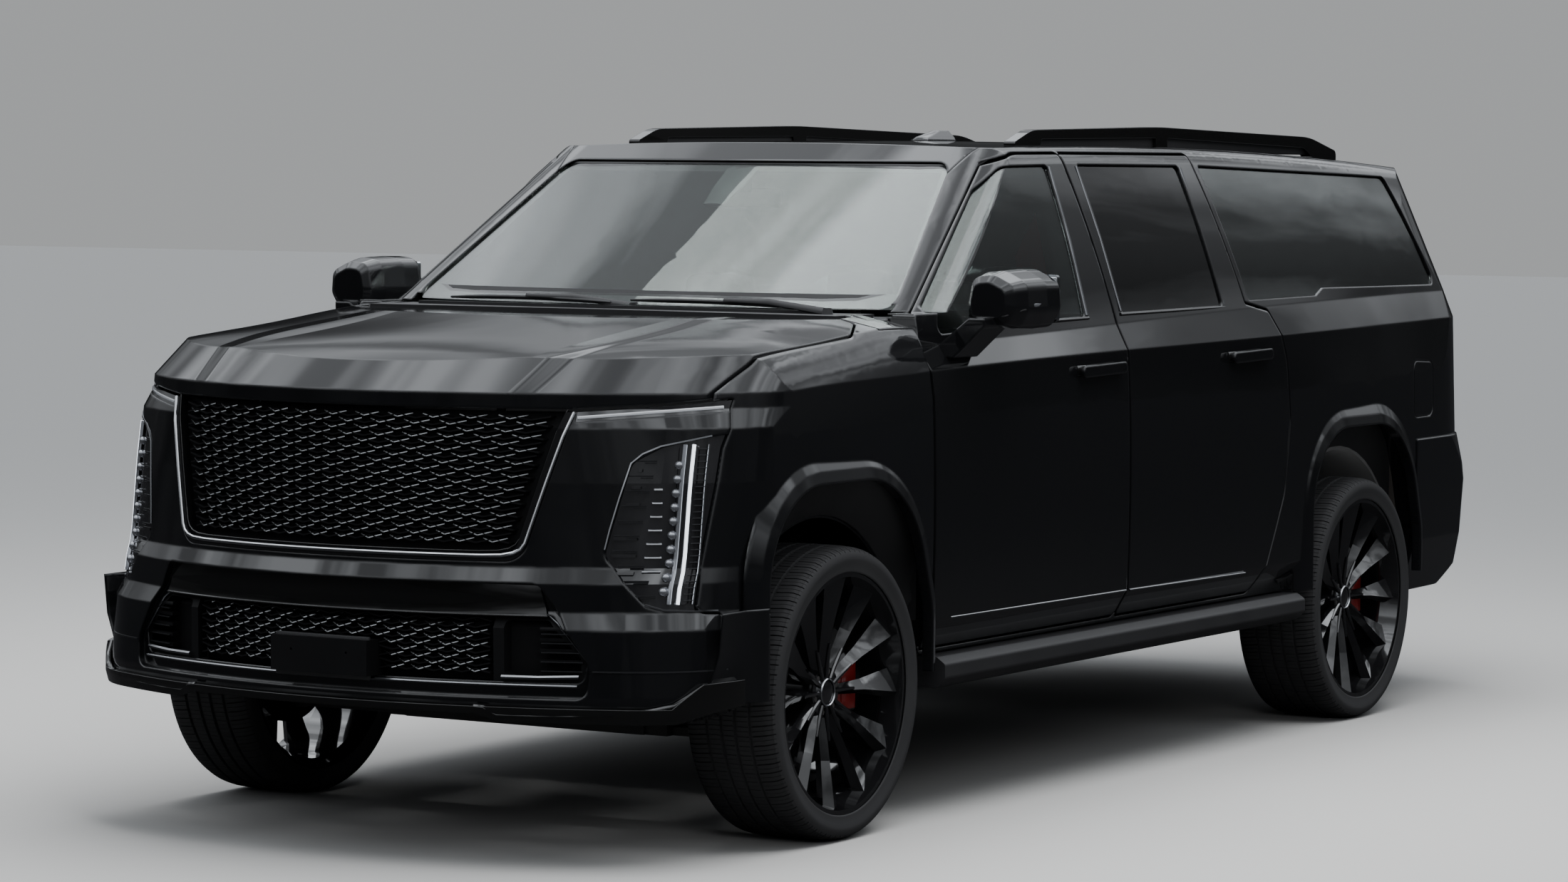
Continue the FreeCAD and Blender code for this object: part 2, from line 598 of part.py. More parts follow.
def front_form(depth, drop=0):
    """Nose, fender and hood form below the skin by depth."""
    return front_block(depth, drop).common(plan_block(NOSE_ROWS, -1, NOSE_REACH, depth))


def both(shape):
    """The piece and its mirror image."""
    return [shape, mirrored(shape)]


# Front: hood, fenders, lamps and fascia cut from one form
front_outer = front_form(0)
front_shell = front_outer.cut(front_form(PANEL_WALL, 100))
for flare in both(arch_flare(0.0).common(box(0, 1300, at(-700), at(449), FASCIA_LOW_Z, 1300))):
    front_shell = front_shell.fuse(flare)
hood_zone = plan_prism(HOOD, HOOD_FRONT_Z, 1700)
fascia_outline = [
    (-1200, FASCIA_LOW_Z), (-425, FASCIA_LOW_Z), (-425, 652, 10), (-664, 664, 20), (-562, 1090, 60), (-505, 1212),
    (-800, FASCIA_TOP_Z), (-1200, FASCIA_TOP_Z)]
fascia_zone = side_prism(fascia_outline, 0, -1300, 1300)
nodes["hood"] = front_shell.common(hood_zone).cut(side_prism(fascia_outline, SHUT_GAP, -1300, 1300))
grille_hole = front_prism(GRILLE_OPENING, -1200, -500)
lower_hole = front_prism(LOWER_OPENING, -1200, -500)
lamp_holes = both(front_prism(LAMP, -1200, -400)) + both(front_prism(LAMP_STRIP, -1200, -400))
recess = front_prism(BUMPER_RECESS, -1200, -700)
fascia = front_shell.common(fascia_zone)
deep_nose = plan_block(NOSE_ROWS, -1, NOSE_REACH, RECESS_DEPTH)
fascia = fascia.cut(recess.cut(deep_nose))
floor_of_recess = front_prism(BUMPER_RECESS, -1200, -700, 8).common(deep_nose).cut(
    plan_block(NOSE_ROWS, -1, NOSE_REACH, RECESS_DEPTH + 18)).common(fascia_zone)
fascia = fascia.fuse(floor_of_recess)
for cutter in [grille_hole, lower_hole] + lamp_holes + both(arch_holes[0]) + both(arch_holes[1]):
    fascia = fascia.cut(cutter)
beam = box(-640, 640, at(-1000), at(-895), 688, 772).common(plan_block(NOSE_ROWS, -1, NOSE_REACH, RECESS_DEPTH + 12))
beam_arms = both(box(390, 470, at(-925), at(FRAME_FRONT_AFT) - SEAT_GAP, 664, 700)) + both(
    box(390, 470, at(FRAME_FRONT_AFT - ARM_PLATE), at(FRAME_FRONT_AFT) - SEAT_GAP, 480, 700))
nodes["front_bumper"] = fused([fascia, beam] + beam_arms)

fender = front_shell.common(box(700, 1300, at(-1100), at(449), FASCIA_LOW_Z - 3, 1500))
for cutter in (
    plan_prism(HOOD, HOOD_FRONT_Z - SHUT_GAP, 1700, SHUT_GAP), side_prism(fascia_outline, SHUT_GAP / 2, 0, 1300),
    arch_holes[0], arch_holes[1],
    box(0, 1300, at(254), at(460), FOOT_Z - SEAT_GAP, 1500), door_zone(FRONT_DOOR, SHUT_GAP),
):
    fender = fender.cut(cutter)
liner = rod(FRAME_RAIL_X + SEAT_GAP, 900, at(0), TYRE_RADIUS, LINER_RADIUS + 14).cut(
    rod(400, 1000, at(0), TYRE_RADIUS, LINER_RADIUS)).cut(box(0, 1300, at(-600), at(600), -100, 456))
nodes["front_fenders"] = Part.Compound(both(fender) + both(liner))

lamp_zone = side_prism(fascia_outline, -SEAT_GAP, 0, 1300)
lamp_body = front_form(LAMP_RECESS).cut(front_form(PANEL_WALL + 14, 20)).common(
    front_prism(LAMP, -1200, -400, -SEAT_GAP)).common(lamp_zone)
lamp_relief = front_form(3).cut(front_form(LAMP_RECESS + 2, 20)).common(
    front_prism(LAMP, -1200, -400, -SEAT_GAP)).common(lamp_zone)
lamp_pieces = [lamp_body, lamp_relief.common(front_prism(LIGHT_BAR, -1200, -400))]
for i in range(LAMP_FIN_COUNT):
    z = 722 + i * LAMP_FIN_PITCH
    lamp_pieces.append(lamp_relief.common(box(LAMP_FINS[0] + abs(z - 830) * 0.25, LAMP_FINS[1], at(-1000), at(-500), z, z + 7)))
strip = front_form(2).cut(front_form(PANEL_WALL - 4, 20)).common(
    front_prism(LAMP_STRIP, -1200, -400, -SEAT_GAP)).common(lamp_zone)
nodes["front_lamps"] = Part.Compound(both(fused(lamp_pieces)) + both(strip))


def nose_y(x, z, depth):
    """Y of the nose's plan form at a place on the face, below the skin by depth; the bow only."""
    for low, high in zip(NOSE_ROWS, NOSE_ROWS[1:]):
        if low[0] <= z <= high[0]:
            share = (z - low[0]) / (high[0] - low[0])
            aft = low[1] + (high[1] - low[1]) * share
            bow = low[2] + (high[2] - low[2]) * share
            return at(aft + depth) + bow - math.sqrt(bow * bow - x * x)
    raise ValueError("no nose outline at this height")


def zigzag_bar(z, half_width, phase, front, back):
    """One bar of the mesh across the opening: a zigzag that follows the bow, as a closed solid."""
    step = half_width / GRILLE_WAVES / 2
    spine = []
    for i in range(-2 * GRILLE_WAVES, 2 * GRILLE_WAVES + 1):
        x = i * step
        rise = GRILLE_RISE if (i + phase) % 2 else -GRILLE_RISE
        spine.append((x, z + rise))
    corners = []
    for x, zz in spine:
        y0 = nose_y(x, z, front)
        y1 = nose_y(x, z, back)
        corners.append((V(x, y0, zz), V(x, y1, zz), V(x, y1, zz + GRILLE_BAR), V(x, y0, zz + GRILLE_BAR)))
    faces = [Part.Face(Part.makePolygon(list(corners[0]) + [corners[0][0]])),
             Part.Face(Part.makePolygon(list(corners[-1]) + [corners[-1][0]]))]
    for one, two in zip(corners, corners[1:]):
        for i in range(4):
            j = (i + 1) % 4
            faces.append(Part.Face(Part.makePolygon([one[i], two[i], two[j], one[j], one[i]])))
    return Part.Solid(Part.Shell(faces))


def nose_skin(shallow, deep):
    """Layer of the nose's plan form between two depths."""
    return plan_block(NOSE_ROWS, -1, NOSE_REACH, shallow).cut(plan_block(NOSE_ROWS, -1, NOSE_REACH + 50, deep))


front_half = box(-1300, 1300, at(-1100), at(-600), 300, FASCIA_TOP_Z)
low_front = RECESS_DEPTH + 10
grille_seat = front_prism(GRILLE_OPENING, -1200, -500, -SEAT_GAP)
surround = nose_skin(-2, GRILLE_DEPTH + 4).common(
    grille_seat.cut(front_prism(GRILLE_OPENING, -1200, -500, -GRILLE_FRAME))).common(front_half)
grille_back = nose_skin(GRILLE_DEPTH, GRILLE_DEPTH + 8).common(grille_seat).common(front_half)
grille_bars = []
for row in range(GRILLE_ROWS):
    z = GRILLE_LOW_Z + row * GRILLE_PITCH_Z
    half_width = GRILLE_LOW_HALF + (z - GRILLE_LOW_Z) * GRILLE_FLARE
    grille_bars.append(zigzag_bar(z, half_width, row % 2, 12, GRILLE_DEPTH - SEAT_GAP))
nodes["main_grille"] = Part.Compound([fused([surround, grille_back])] + grille_bars)

lower_seat = front_prism(LOWER_OPENING, -1200, -500, -SEAT_GAP)
lower_back = nose_skin(RECESS_DEPTH + GRILLE_DEPTH, RECESS_DEPTH + GRILLE_DEPTH + 8).common(lower_seat)
lower_bars = []
for row in range(LOWER_ROWS):
    z = LOWER_LOW_Z + row * GRILLE_PITCH_Z
    lower_bars.append(zigzag_bar(z, LOWER_MESH_HALF, row % 2, low_front, RECESS_DEPTH + GRILLE_DEPTH - SEAT_GAP))
fins = []
for z in (508, 536, 564, 592, 620):
    fins += both(box(LOWER_MESH_HALF + 130, 740, at(-1100), at(-700), z, z + 9))
pod_rims = both(front_prism([(LOWER_MESH_HALF + 12, 480), (760, 480), (760, 660), (LOWER_MESH_HALF + 12, 660)], -1200, -500).cut(
    front_prism([(LOWER_MESH_HALF + 40, 500, 14), (700, 500, 14), (700, 548, 10), (616, 645, 14), (LOWER_MESH_HALF + 40, 645, 14)],
                -1200, -500)))
fins += pod_rims
fin_layer = nose_skin(low_front - 6, RECESS_DEPTH + GRILLE_DEPTH + 2)
fin_room = fin_layer.common(lower_seat)
lower_fins = [fin_room.common(fin) for fin in fins]
plate_block = box(-155, 155, at(-FRONT_OVERHANG), at(-950), 460, 580)
plate_bolts = []
for x in (-PLATE_BOLT_SPACING / 2, PLATE_BOLT_SPACING / 2):
    plate_bolts.append(Part.makeCylinder(PLATE_BOLT_RADIUS, 100, V(x, at(-1060), PLATE_BOLT_Z), V(0, 1, 0)))
plate_block = plate_block.common(lower_seat)
lower_bars = [part for bar in lower_bars for part in bar.cut(
    box(-156, 156, at(-1100), at(-900), 459, 581)).Solids]
arm_room = both(box(376, 484, at(FRAME_FRONT_AFT - ARM_PLATE) - 1, at(-700), 440, 720))
lower_frame = fused([lower_back, plate_block] + lower_fins)
for room in arm_room:
    lower_frame = lower_frame.cut(room)
    lower_bars = [part for bar in lower_bars for part in bar.cut(room).Solids]
for bolt in plate_bolts:
    lower_frame = lower_frame.cut(bolt)
nodes["lower_grille"] = Part.Compound([lower_frame] + lower_bars)

lip = plan_block(LIP_ROWS, -1, NOSE_REACH).cut(plan_block(LIP_ROWS, -1, NOSE_REACH + 50, 120))
lip = lip.common(front_prism(LIP_OUTLINE, -1040, -560)).cut(front_form(-SEAT_GAP).common(
    box(-1300, 1300, at(-1300), at(0), FASCIA_LOW_Z - SEAT_GAP, 800)))
nodes["front_lip"] = lip

# Rear bumper round the tail
bumper_limit = body_block(-4, 0, 100)
bumper_outer = plan_block(BUMPER_ROWS, 1, TAIL_REACH).common(bumper_limit)
bumper_inner = plan_block([(z, a - 90, b, t, f - 60) for z, a, b, t, f in BUMPER_ROWS], 1, TAIL_REACH)
rear_bumper = bumper_outer.cut(bumper_inner.common(box(-1300, 1300, at(3000), at(5000), 300, 1000)))
rear_bumper = rear_bumper.common(box(-1300, 1300, at(BUMPER_START_AFT + 3), at(5000), 385, BUMPER_TOP_Z))
rear_bumper = rear_bumper.cut(front_prism(TAILGATE, 4000, 5000, 12))
rear_arms = both(box(FRAME_RAIL_X - 90, FRAME_RAIL_X - 10, at(FRAME_REAR_AFT) + SEAT_GAP, at(4690), 470, 550))
receiver_room = box(-60, 60, at(FRAME_REAR_AFT - 60), at(4800), 300, FRAME_Z + 96)
nodes["rear_bumper"] = fused([rear_bumper] + rear_arms).cut(receiver_room)

# Roof rails and fin
rail = side_prism(RAIL_OUTLINE, 0, 648, 686).cut(side_prism(RAIL_GAP, 0, 600, 700))
rail = rail.cut(side_prism(RAIL_GAP_REAR, 0, 600, 700)).cut(body_block(-SEAT_GAP, -SEAT_GAP, 0))
nodes["roof_rails"] = Part.Compound(both(rail))
fin_wires = []
for z, y0, y1, width in FIN_ROWS:
    points = [(-width, y0 + 40, 5), (0, y0, 3), (width, y0 + 40, 5), (width, y1, 5), (-width, y1, 5)]
    fin_wires.append(outline_face(points, lambda p: V(p.x, at(p.y), z)).OuterWire)
nodes["roof_fin"] = Part.makeLoft(fin_wires, True, True).cut(body_block(-SEAT_GAP, -SEAT_GAP, 0))

# Running boards with their brackets under the frame
board = front_prism(BOARD_OUTLINE, SILL_START_AFT, 2890)
brackets = []
for aft in BOARD_BRACKETS:
    brackets.append(box(FRAME_RAIL_X - 90, 905, at(aft), at(aft) + 60, 394, 420))
    brackets.append(box(FRAME_RAIL_X - 90, FRAME_RAIL_X - 10, at(aft), at(aft) + 60, 400, FRAME_Z - SEAT_GAP))
nodes["running_boards"] = Part.Compound(both(fused([board] + brackets)))

# Ladder frame with body mounts and the hitch receiver
members = []
for x0 in (FRAME_RAIL_X - 100, -FRAME_RAIL_X):
    members.append(box(x0, x0 + 100, at(FRAME_FRONT_AFT), at(FRAME_REAR_AFT), FRAME_Z, FRAME_Z + 110))
for aft in CROSS_MEMBERS:
    members.append(box(-FRAME_RAIL_X + 50, FRAME_RAIL_X - 50, at(aft), at(aft) + 70, FRAME_Z, FRAME_Z + 24))
for aft in BODY_MOUNTS:
    for x in (-FRAME_RAIL_X + 50, FRAME_RAIL_X - 50):
        members.append(Part.makeCylinder(42, FLOOR_Z - SEAT_GAP - FRAME_Z - 109, V(x, at(aft), FRAME_Z + 109)))
members.append(box(-38, 38, at(FRAME_REAR_AFT - 240), at(RECEIVER_END_AFT), FRAME_Z + 10, FRAME_Z + 86))
members.append(box(-FRAME_RAIL_X + 50, FRAME_RAIL_X - 50, at(FRAME_REAR_AFT - 70), at(FRAME_REAR_AFT), FRAME_Z,
                   FRAME_Z + 100))
for x in (-FRAME_RAIL_X, FRAME_RAIL_X - 100):
    members.append(box(x, x + 100, at(JACK_PAD_AFT - 50), at(JACK_PAD_AFT + 50), FRAME_Z - JACK_PAD_DROP, FRAME_Z + 1))
ladder = fused(members)
ladder = ladder.cut(box(-RECEIVER / 2, RECEIVER / 2, at(FRAME_REAR_AFT - 260), at(RECEIVER_END_AFT + 20),
                        FRAME_Z + 48 - RECEIVER / 2, FRAME_Z + 48 + RECEIVER / 2))
nodes["ladder_frame"] = ladder

# Floor with wheelhouses, firewall and rear sill
floor_limit = plan_block([(z, a - 90 - SEAT_GAP, b, t, f - 60 - SEAT_GAP) for z, a, b, t, f in BUMPER_ROWS], 1, TAIL_REACH)
floor = box(-SILL_X + SEAT_GAP, SILL_X - SEAT_GAP, at(SILL_START_AFT), at(4700), FLOOR_Z, FLOOR_Z + FLOOR_THICKNESS)
rear_sill = box(-640, 640, at(4500), at(4700), FLOOR_Z, 760)
floor_pieces = [floor.common(floor_limit), rear_sill.common(floor_limit)]
wheel_space = rod(WHEELHOUSE_X, 1000, at(REAR_AXLE_AFT), TYRE_RADIUS, WHEELHOUSE_RADIUS)
for shape in both(wheel_space):
    floor_pieces[0] = floor_pieces[0].cut(shape)
dome = rod(WHEELHOUSE_X - 14, 905, at(REAR_AXLE_AFT), TYRE_RADIUS, WHEELHOUSE_RADIUS + 14).cut(wheel_space)
dome = dome.cut(box(0, 1300, at(2000), at(4500), -200, FLOOR_Z - 120))
floor_pieces += both(dome)
floor_pieces.append(box(-779, 779, at(FIREWALL_AFT), at(SILL_START_AFT + 10), FLOOR_Z, 1383))
latch = box(-50, 50, at(4540), at(4720), 770, 800).common(plan_block(TAIL_ROWS, 1, TAIL_REACH, TAIL_WALL + SEAT_GAP))
floor_pieces += [box(-50, 50, at(4520), at(4580), 740, 800), latch]
nodes["floor_pan"] = fused(floor_pieces)

# Engine with gearbox, radiator and exhaust
nodes["engine_block"] = fused([
    box(-270, 270, at(-430), at(330), FRAME_Z + 24 + SEAT_GAP, 1050),
    box(-130, 130, at(300), at(1000), FRAME_Z + 24 + SEAT_GAP, FLOOR_Z - 4),
])
radiator = box(-560, 560, at(-800), at(-740), FRAME_Z + 110 + SEAT_GAP, 1150)
stops = [Part.makeCylinder(12, 200, V(x, at(-770), 1140)).common(front_form(PANEL_WALL + SEAT_GAP, 100))
         for x in (-400, 400)]
nodes["radiator"] = fused([radiator] + stops)
pipe_path = [V(230, at(a), z) for a, z in PIPE_ROUTE]
pipe_pieces = []
for a, b in zip(pipe_path, pipe_path[1:]):
    pipe_pieces.append(Part.makeCylinder(PIPE_RADIUS, (b - a).Length, a, b - a))
    pipe_pieces.append(Part.makeSphere(PIPE_RADIUS, b))
pipe_pieces.append(box(140, 330, at(1950), at(2650), 385, FRAME_Z - 6))
pipe_pieces.append(box(200, 260, at(2700), at(2730), 400, FRAME_Z - SEAT_GAP))
nodes["exhaust"] = fused(pipe_pieces)

# Dashboard with console and steering wheel
dash = side_prism(DASH_OUTLINE, 0, -770, 770)
console = box(-128, 128, at(640), at(1850), FLOOR_Z + FLOOR_THICKNESS + SEAT_GAP, 900)
wheel_centre = V(SEAT_CENTRE_X, at(1010), 1150)
wheel_axis = V(0, 1, 0.45)
steering = Part.makeTorus(188, 15, wheel_centre, wheel_axis)
column = Part.makeCylinder(28, 330, wheel_centre, V(0, -1, -0.45))
spokes = box(SEAT_CENTRE_X - 185, SEAT_CENTRE_X + 185, at(1000), at(1020), 1135, 1165)
nodes["dashboard"] = fused([dash, console, steering, column, spokes])

# Seats
seats = []
for row, (aft, width, places) in enumerate(SEAT_ROWS):
    for x in places:
        seats.append(side_prism(SEAT_OUTLINE, 0, x - width / 2, x + width / 2, aft))
nodes["seats"] = Part.Compound(seats)

# Cowl with wiper arms
cowl_edge = COWL_HALF_WIDTH - SEAT_GAP
cowl = plan_prism([(-cowl_edge, 292), (0, 338), (cowl_edge, 292), (cowl_edge, 508), (-cowl_edge, 508)], 1384.5, 1407)
wipers = []
for x0, x1, aft in ((-60, 700, 470), (-700, 40, 470)):
    wipers.append(box(x0, x1, at(aft) - 60, at(aft) - 46, 1400, 1416))
nodes["cowl_and_wipers"] = fused([cowl] + wipers)


# Front suspension and knuckles
def ball_seat(z, reach_x):
    """Control arm end: a flat eye round the kingpin."""
    eye = Part.makeCylinder(28, 24, V(KINGPIN_X, at(0), z))
    arm = box(reach_x, KINGPIN_X, at(-30), at(30), z, z + 24)
    bore = Part.makeCylinder(KINGPIN_RADIUS + PIN_CLEARANCE, 60, V(KINGPIN_X, at(0), z - 20))
    return fused([eye, arm]).cut(bore)


lower_z = TYRE_RADIUS - BALL_JOINT_REACH - 12
upper_z = TYRE_RADIUS + BALL_JOINT_REACH - 12
lower_arm = ball_seat(lower_z, 300)
tower = box(400, 470, at(-60), at(60), lower_z, FRAME_Z - SEAT_GAP)
upper_arm = ball_seat(upper_z, FRAME_RAIL_X + SEAT_GAP)
crossbeam = box(-400, 400, at(-70), at(70), lower_z, lower_z + 50)
nodes["front_suspension"] = Part.Compound(
    [fused([crossbeam] + both(lower_arm) + both(tower))] + both(upper_arm))

upright = box(KINGPIN_X - 32, DISC_X - DISC_THICKNESS / 2 - 6, at(-45), at(45), 290, 510)
kingpin = Part.makeCylinder(KINGPIN_RADIUS, 2 * BALL_JOINT_REACH + 40,
                            V(KINGPIN_X, at(0), TYRE_RADIUS - BALL_JOINT_REACH - 20))
spindle = rod(KINGPIN_X, HUB_FACE_X - 20, at(0), TYRE_RADIUS, SPINDLE_RADIUS)


def calliper(axle, inner_x):
    """Brake calliper over the rear edge of a disc, on an arm from the carrier."""
    disc_low = DISC_X - DISC_THICKNESS / 2
    disc_high = DISC_X + DISC_THICKNESS / 2
    body = box(disc_low - 22, disc_high + 14, at(axle + 118), at(axle + 228), 330, 490)
    body = body.cut(rod(disc_low - 6, disc_high + 6, at(axle), TYRE_RADIUS, DISC_RADIUS + 6))
    arm = box(inner_x, disc_low - 6, at(axle + 20), at(axle + 140), 365, 435)
    return [body, arm]


nodes["knuckle_left"] = fused([upright, kingpin, spindle] + calliper(0, KINGPIN_X - 10))

# Rear axle with housing, shafts and propeller shaft
axle_pieces = [
    rod(-HUB_FACE_X + 20, HUB_FACE_X - 20, at(REAR_AXLE_AFT), TYRE_RADIUS, SPINDLE_RADIUS),
    rod(-838, 838, at(REAR_AXLE_AFT), TYRE_RADIUS, 46),
    rod(-70, 70, at(REAR_AXLE_AFT), TYRE_RADIUS, 130),
    rod(-120, 120, at(REAR_AXLE_AFT), TYRE_RADIUS, 100),
]
for x in (-430, 430):
    axle_pieces.append(box(x - 45, x + 45, at(REAR_AXLE_AFT - 60), at(REAR_AXLE_AFT + 60), TYRE_RADIUS - 56,
                           FRAME_Z - SEAT_GAP))
left_brake = calliper(REAR_AXLE_AFT, 790)
for piece in left_brake:
    axle_pieces += both(piece)
axle_pieces.append(Part.makeCylinder(32, REAR_AXLE_AFT - 1150 - SEAT_GAP, V(0, at(1000) + SEAT_GAP, 530), V(0, 1, 0)))
axle_pieces.append(box(-45, 45, at(REAR_AXLE_AFT - 200), at(REAR_AXLE_AFT), 470, 575))
nodes["rear_axle"] = fused(axle_pieces)


# Wheels
def revolved(profile, axle):
    """Ring about a wheel's axis from (x, radius) points."""
    points = [V(x, at(axle), TYRE_RADIUS + r) for x, r in profile]
    face = Part.Face(Part.makePolygon(points + points[:1]))
    return face.revolve(V(0, at(axle), TYRE_RADIUS), V(1, 0, 0), 360)


tyre_profile = [(WHEEL_CENTRE_X + dx, r) for dx, r in TYRE_PROFILE]
rim_profile = [(WHEEL_CENTRE_X + dx, r) for dx, r in RIM_PROFILE]
hub_profile = [(DISC_X - DISC_THICKNESS / 2, SPINDLE_RADIUS + PIN_CLEARANCE), (DISC_X - DISC_THICKNESS / 2, DISC_RADIUS),
               (DISC_X + DISC_THICKNESS / 2, DISC_RADIUS), (DISC_X + DISC_THICKNESS / 2, HUB_RADIUS),
               (HUB_FACE_X, HUB_RADIUS), (HUB_FACE_X, SPINDLE_RADIUS + PIN_CLEARANCE)]
for axle in (0.0,):
    nodes["tyre_front_left"] = revolved(tyre_profile, axle)
    centre = V(0, at(axle), TYRE_RADIUS)
    rim_pieces = [revolved(rim_profile, axle), revolved(hub_profile, axle),
                  rod(HUB_FACE_X - 12, HUB_FACE_X + 8, at(axle), TYRE_RADIUS, HUB_RADIUS - 6)]
    spoke = Part.makeLoft([
        Part.makePolygon([V(x0, at(axle) - w * 0.7, TYRE_RADIUS + r), V((x0 + x1) / 2, at(axle) - w, TYRE_RADIUS + r),
                          V(x1, at(axle) + ridge, TYRE_RADIUS + r), V((x0 + x1) / 2, at(axle) + w, TYRE_RADIUS + r),
                          V(x0, at(axle) + w * 0.7, TYRE_RADIUS + r), V(x0, at(axle) - w * 0.7, TYRE_RADIUS + r)])
        for r, x0, x1, w, ridge in SPOKE_ROWS], True, True)
    for i in range(SPOKE_COUNT):
        turned = spoke.copy()
        turned.rotate(centre, V(1, 0, 0), 360.0 / SPOKE_COUNT * i)
        rim_pieces.append(turned)
    nodes["rim_front_left"] = fused(rim_pieces)
for name in ("tyre", "rim"):
    moved = nodes[name + "_front_left"].copy()
    moved.translate(V(0, REAR_AXLE_AFT, 0))
    nodes[name + "_rear_left"] = moved

# Mirrors
head_outline = outline_face(MIRROR_OUTLINE, lambda p: V(p.x, 0, p.y)).OuterWire
head_wires = []
for aft, size in MIRROR_ROWS:
    wire = head_outline.copy()
    wire.scale(size, V(MIRROR_CENTRE[0], 0, MIRROR_CENTRE[1]))
    wire.translate(V(0, at(aft), 0))
    head_wires.append(wire)
mirror_head = Part.makeLoft(head_wires, True, True)
mirror_foot = front_prism(MIRROR_FOOT, 560, 700)
nodes["mirror_left"] = fused([mirror_head, mirror_foot]).cut(body_block(-SEAT_GAP, 0, 0))

for name in list(nodes):
    if name.endswith("_left"):
        nodes[name[:-5] + "_right"] = mirrored(nodes[name])

# Filler flap on the left flank
flap_groove = side_prism(FUEL_FLAP, FLAP_GROOVE, 900, 1100).cut(side_prism(FUEL_FLAP, 0, 900, 1100)).cut(
    body_block(FLAP_GROOVE, 0, 0))
nodes["body_side_left"] = nodes["body_side_left"].cut(flap_groove)

os.makedirs("parts", exist_ok=True)
for name, shape in nodes.items():
    shape.exportStep("parts/%s.step" % name)
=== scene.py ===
import bpy
import bmesh
import math
from bpy.props import FloatProperty, FloatVectorProperty, PointerProperty
from mathutils import Matrix, Vector


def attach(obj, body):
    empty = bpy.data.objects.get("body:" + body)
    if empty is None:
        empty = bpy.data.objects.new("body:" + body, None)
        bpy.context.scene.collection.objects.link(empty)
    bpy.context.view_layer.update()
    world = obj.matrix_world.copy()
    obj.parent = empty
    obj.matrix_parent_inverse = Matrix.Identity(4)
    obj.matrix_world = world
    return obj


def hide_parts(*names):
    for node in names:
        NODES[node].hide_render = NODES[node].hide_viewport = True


bl_info = {
    "name": "Long suv dress-up",
    "version": (1, 0, 0),
    "blender": (4, 5, 0),
    "location": "View3D > Sidebar > Suv",
    "description": "Finishes, seats, tyres, grilles, lamps and trim for the long suv",
    "category": "Object",
}

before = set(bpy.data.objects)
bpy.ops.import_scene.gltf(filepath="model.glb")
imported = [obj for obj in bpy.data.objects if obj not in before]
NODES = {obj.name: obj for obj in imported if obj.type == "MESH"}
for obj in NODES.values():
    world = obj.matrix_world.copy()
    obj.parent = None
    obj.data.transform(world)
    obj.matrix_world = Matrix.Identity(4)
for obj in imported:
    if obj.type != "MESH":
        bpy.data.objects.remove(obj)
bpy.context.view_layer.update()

FRONT_AXLE_Y = -1.853
WHEELBASE = 3.407
TYRE_RADIUS = 0.400
TYRE_CENTRE_X = 0.872
HUB_FACE_X = 0.938
SIDES = ((1, "left"), (-1, "right"))
AXLES = ((FRONT_AXLE_Y, "front"), (FRONT_AXLE_Y + WHEELBASE, "rear"))


def at(aft):
    """Y in metres of a place given in millimetres aft of the front axle."""
    return FRONT_AXLE_Y + aft / 1000.0


# Node groups shared by the finishes

def new_group(name, inputs, outputs):
    """Shader node group with named float inputs and outputs."""
    group = bpy.data.node_groups.new(name, "ShaderNodeTree")
    for label, value in inputs:
        socket = group.interface.new_socket(name=label, in_out="INPUT", socket_type="NodeSocketFloat")
        socket.default_value = value
    for label in outputs:
        group.interface.new_socket(name=label, in_out="OUTPUT", socket_type="NodeSocketFloat")
    return group, group.nodes.new("NodeGroupInput"), group.nodes.new("NodeGroupOutput")


def math_node(nodes, links, operation, a, b=0.0):
    """Math node fed by sockets or plain numbers."""
    node = nodes.new("ShaderNodeMath")
    node.operation = operation
    for socket, value in zip(node.inputs, (a, b)):
        if isinstance(value, (int, float)):
            socket.default_value = value
        else:
            links.new(value, socket)
    return node.outputs[0]


def grain_group():
    """Fine moulded grain and slow drift of the surface, for plastic, rubber and leather."""
    group, given, out = new_group("moulded_grain", (("Scale", 400.0), ("Drift", 3.0)), ("Height", "Mask"))
    n, l = group.nodes, group.links
    coords = n.new("ShaderNodeTexCoord")
    fine = n.new("ShaderNodeTexNoise")
    fine.inputs["Detail"].default_value = 3.0
    slow = n.new("ShaderNodeTexNoise")
    slow.inputs["Detail"].default_value = 4.0
    l.new(coords.outputs["Object"], fine.inputs["Vector"])
    l.new(coords.outputs["Object"], slow.inputs["Vector"])
    l.new(given.outputs["Scale"], fine.inputs["Scale"])
    l.new(given.outputs["Drift"], slow.inputs["Scale"])
    l.new(fine.outputs["Fac"], out.inputs["Height"])
    l.new(slow.outputs["Fac"], out.inputs["Mask"])
    return group


def zone_group():
    """Mask that is 1 inboard of a distance from the centre plane, below a height and ahead of the tail."""
    group, given, out = new_group("inboard_zone", (("Reach", 0.95), ("Top", 1.34), ("Back", 2.28)), ("Mask",))
    n, l = group.nodes, group.links
    coords = n.new("ShaderNodeTexCoord")
    parts = n.new("ShaderNodeSeparateXYZ")
    l.new(coords.outputs["Object"], parts.inputs[0])
    across = math_node(n, l, "ABSOLUTE", parts.outputs["X"])
    inside = math_node(n, l, "LESS_THAN", across, given.outputs["Reach"])
    low = math_node(n, l, "LESS_THAN", parts.outputs["Z"], given.outputs["Top"])
    ahead = math_node(n, l, "LESS_THAN", parts.outputs["Y"], given.outputs["Back"])
    within = math_node(n, l, "MULTIPLY", inside, low)
    l.new(math_node(n, l, "MULTIPLY", within, ahead), out.inputs["Mask"])
    return group


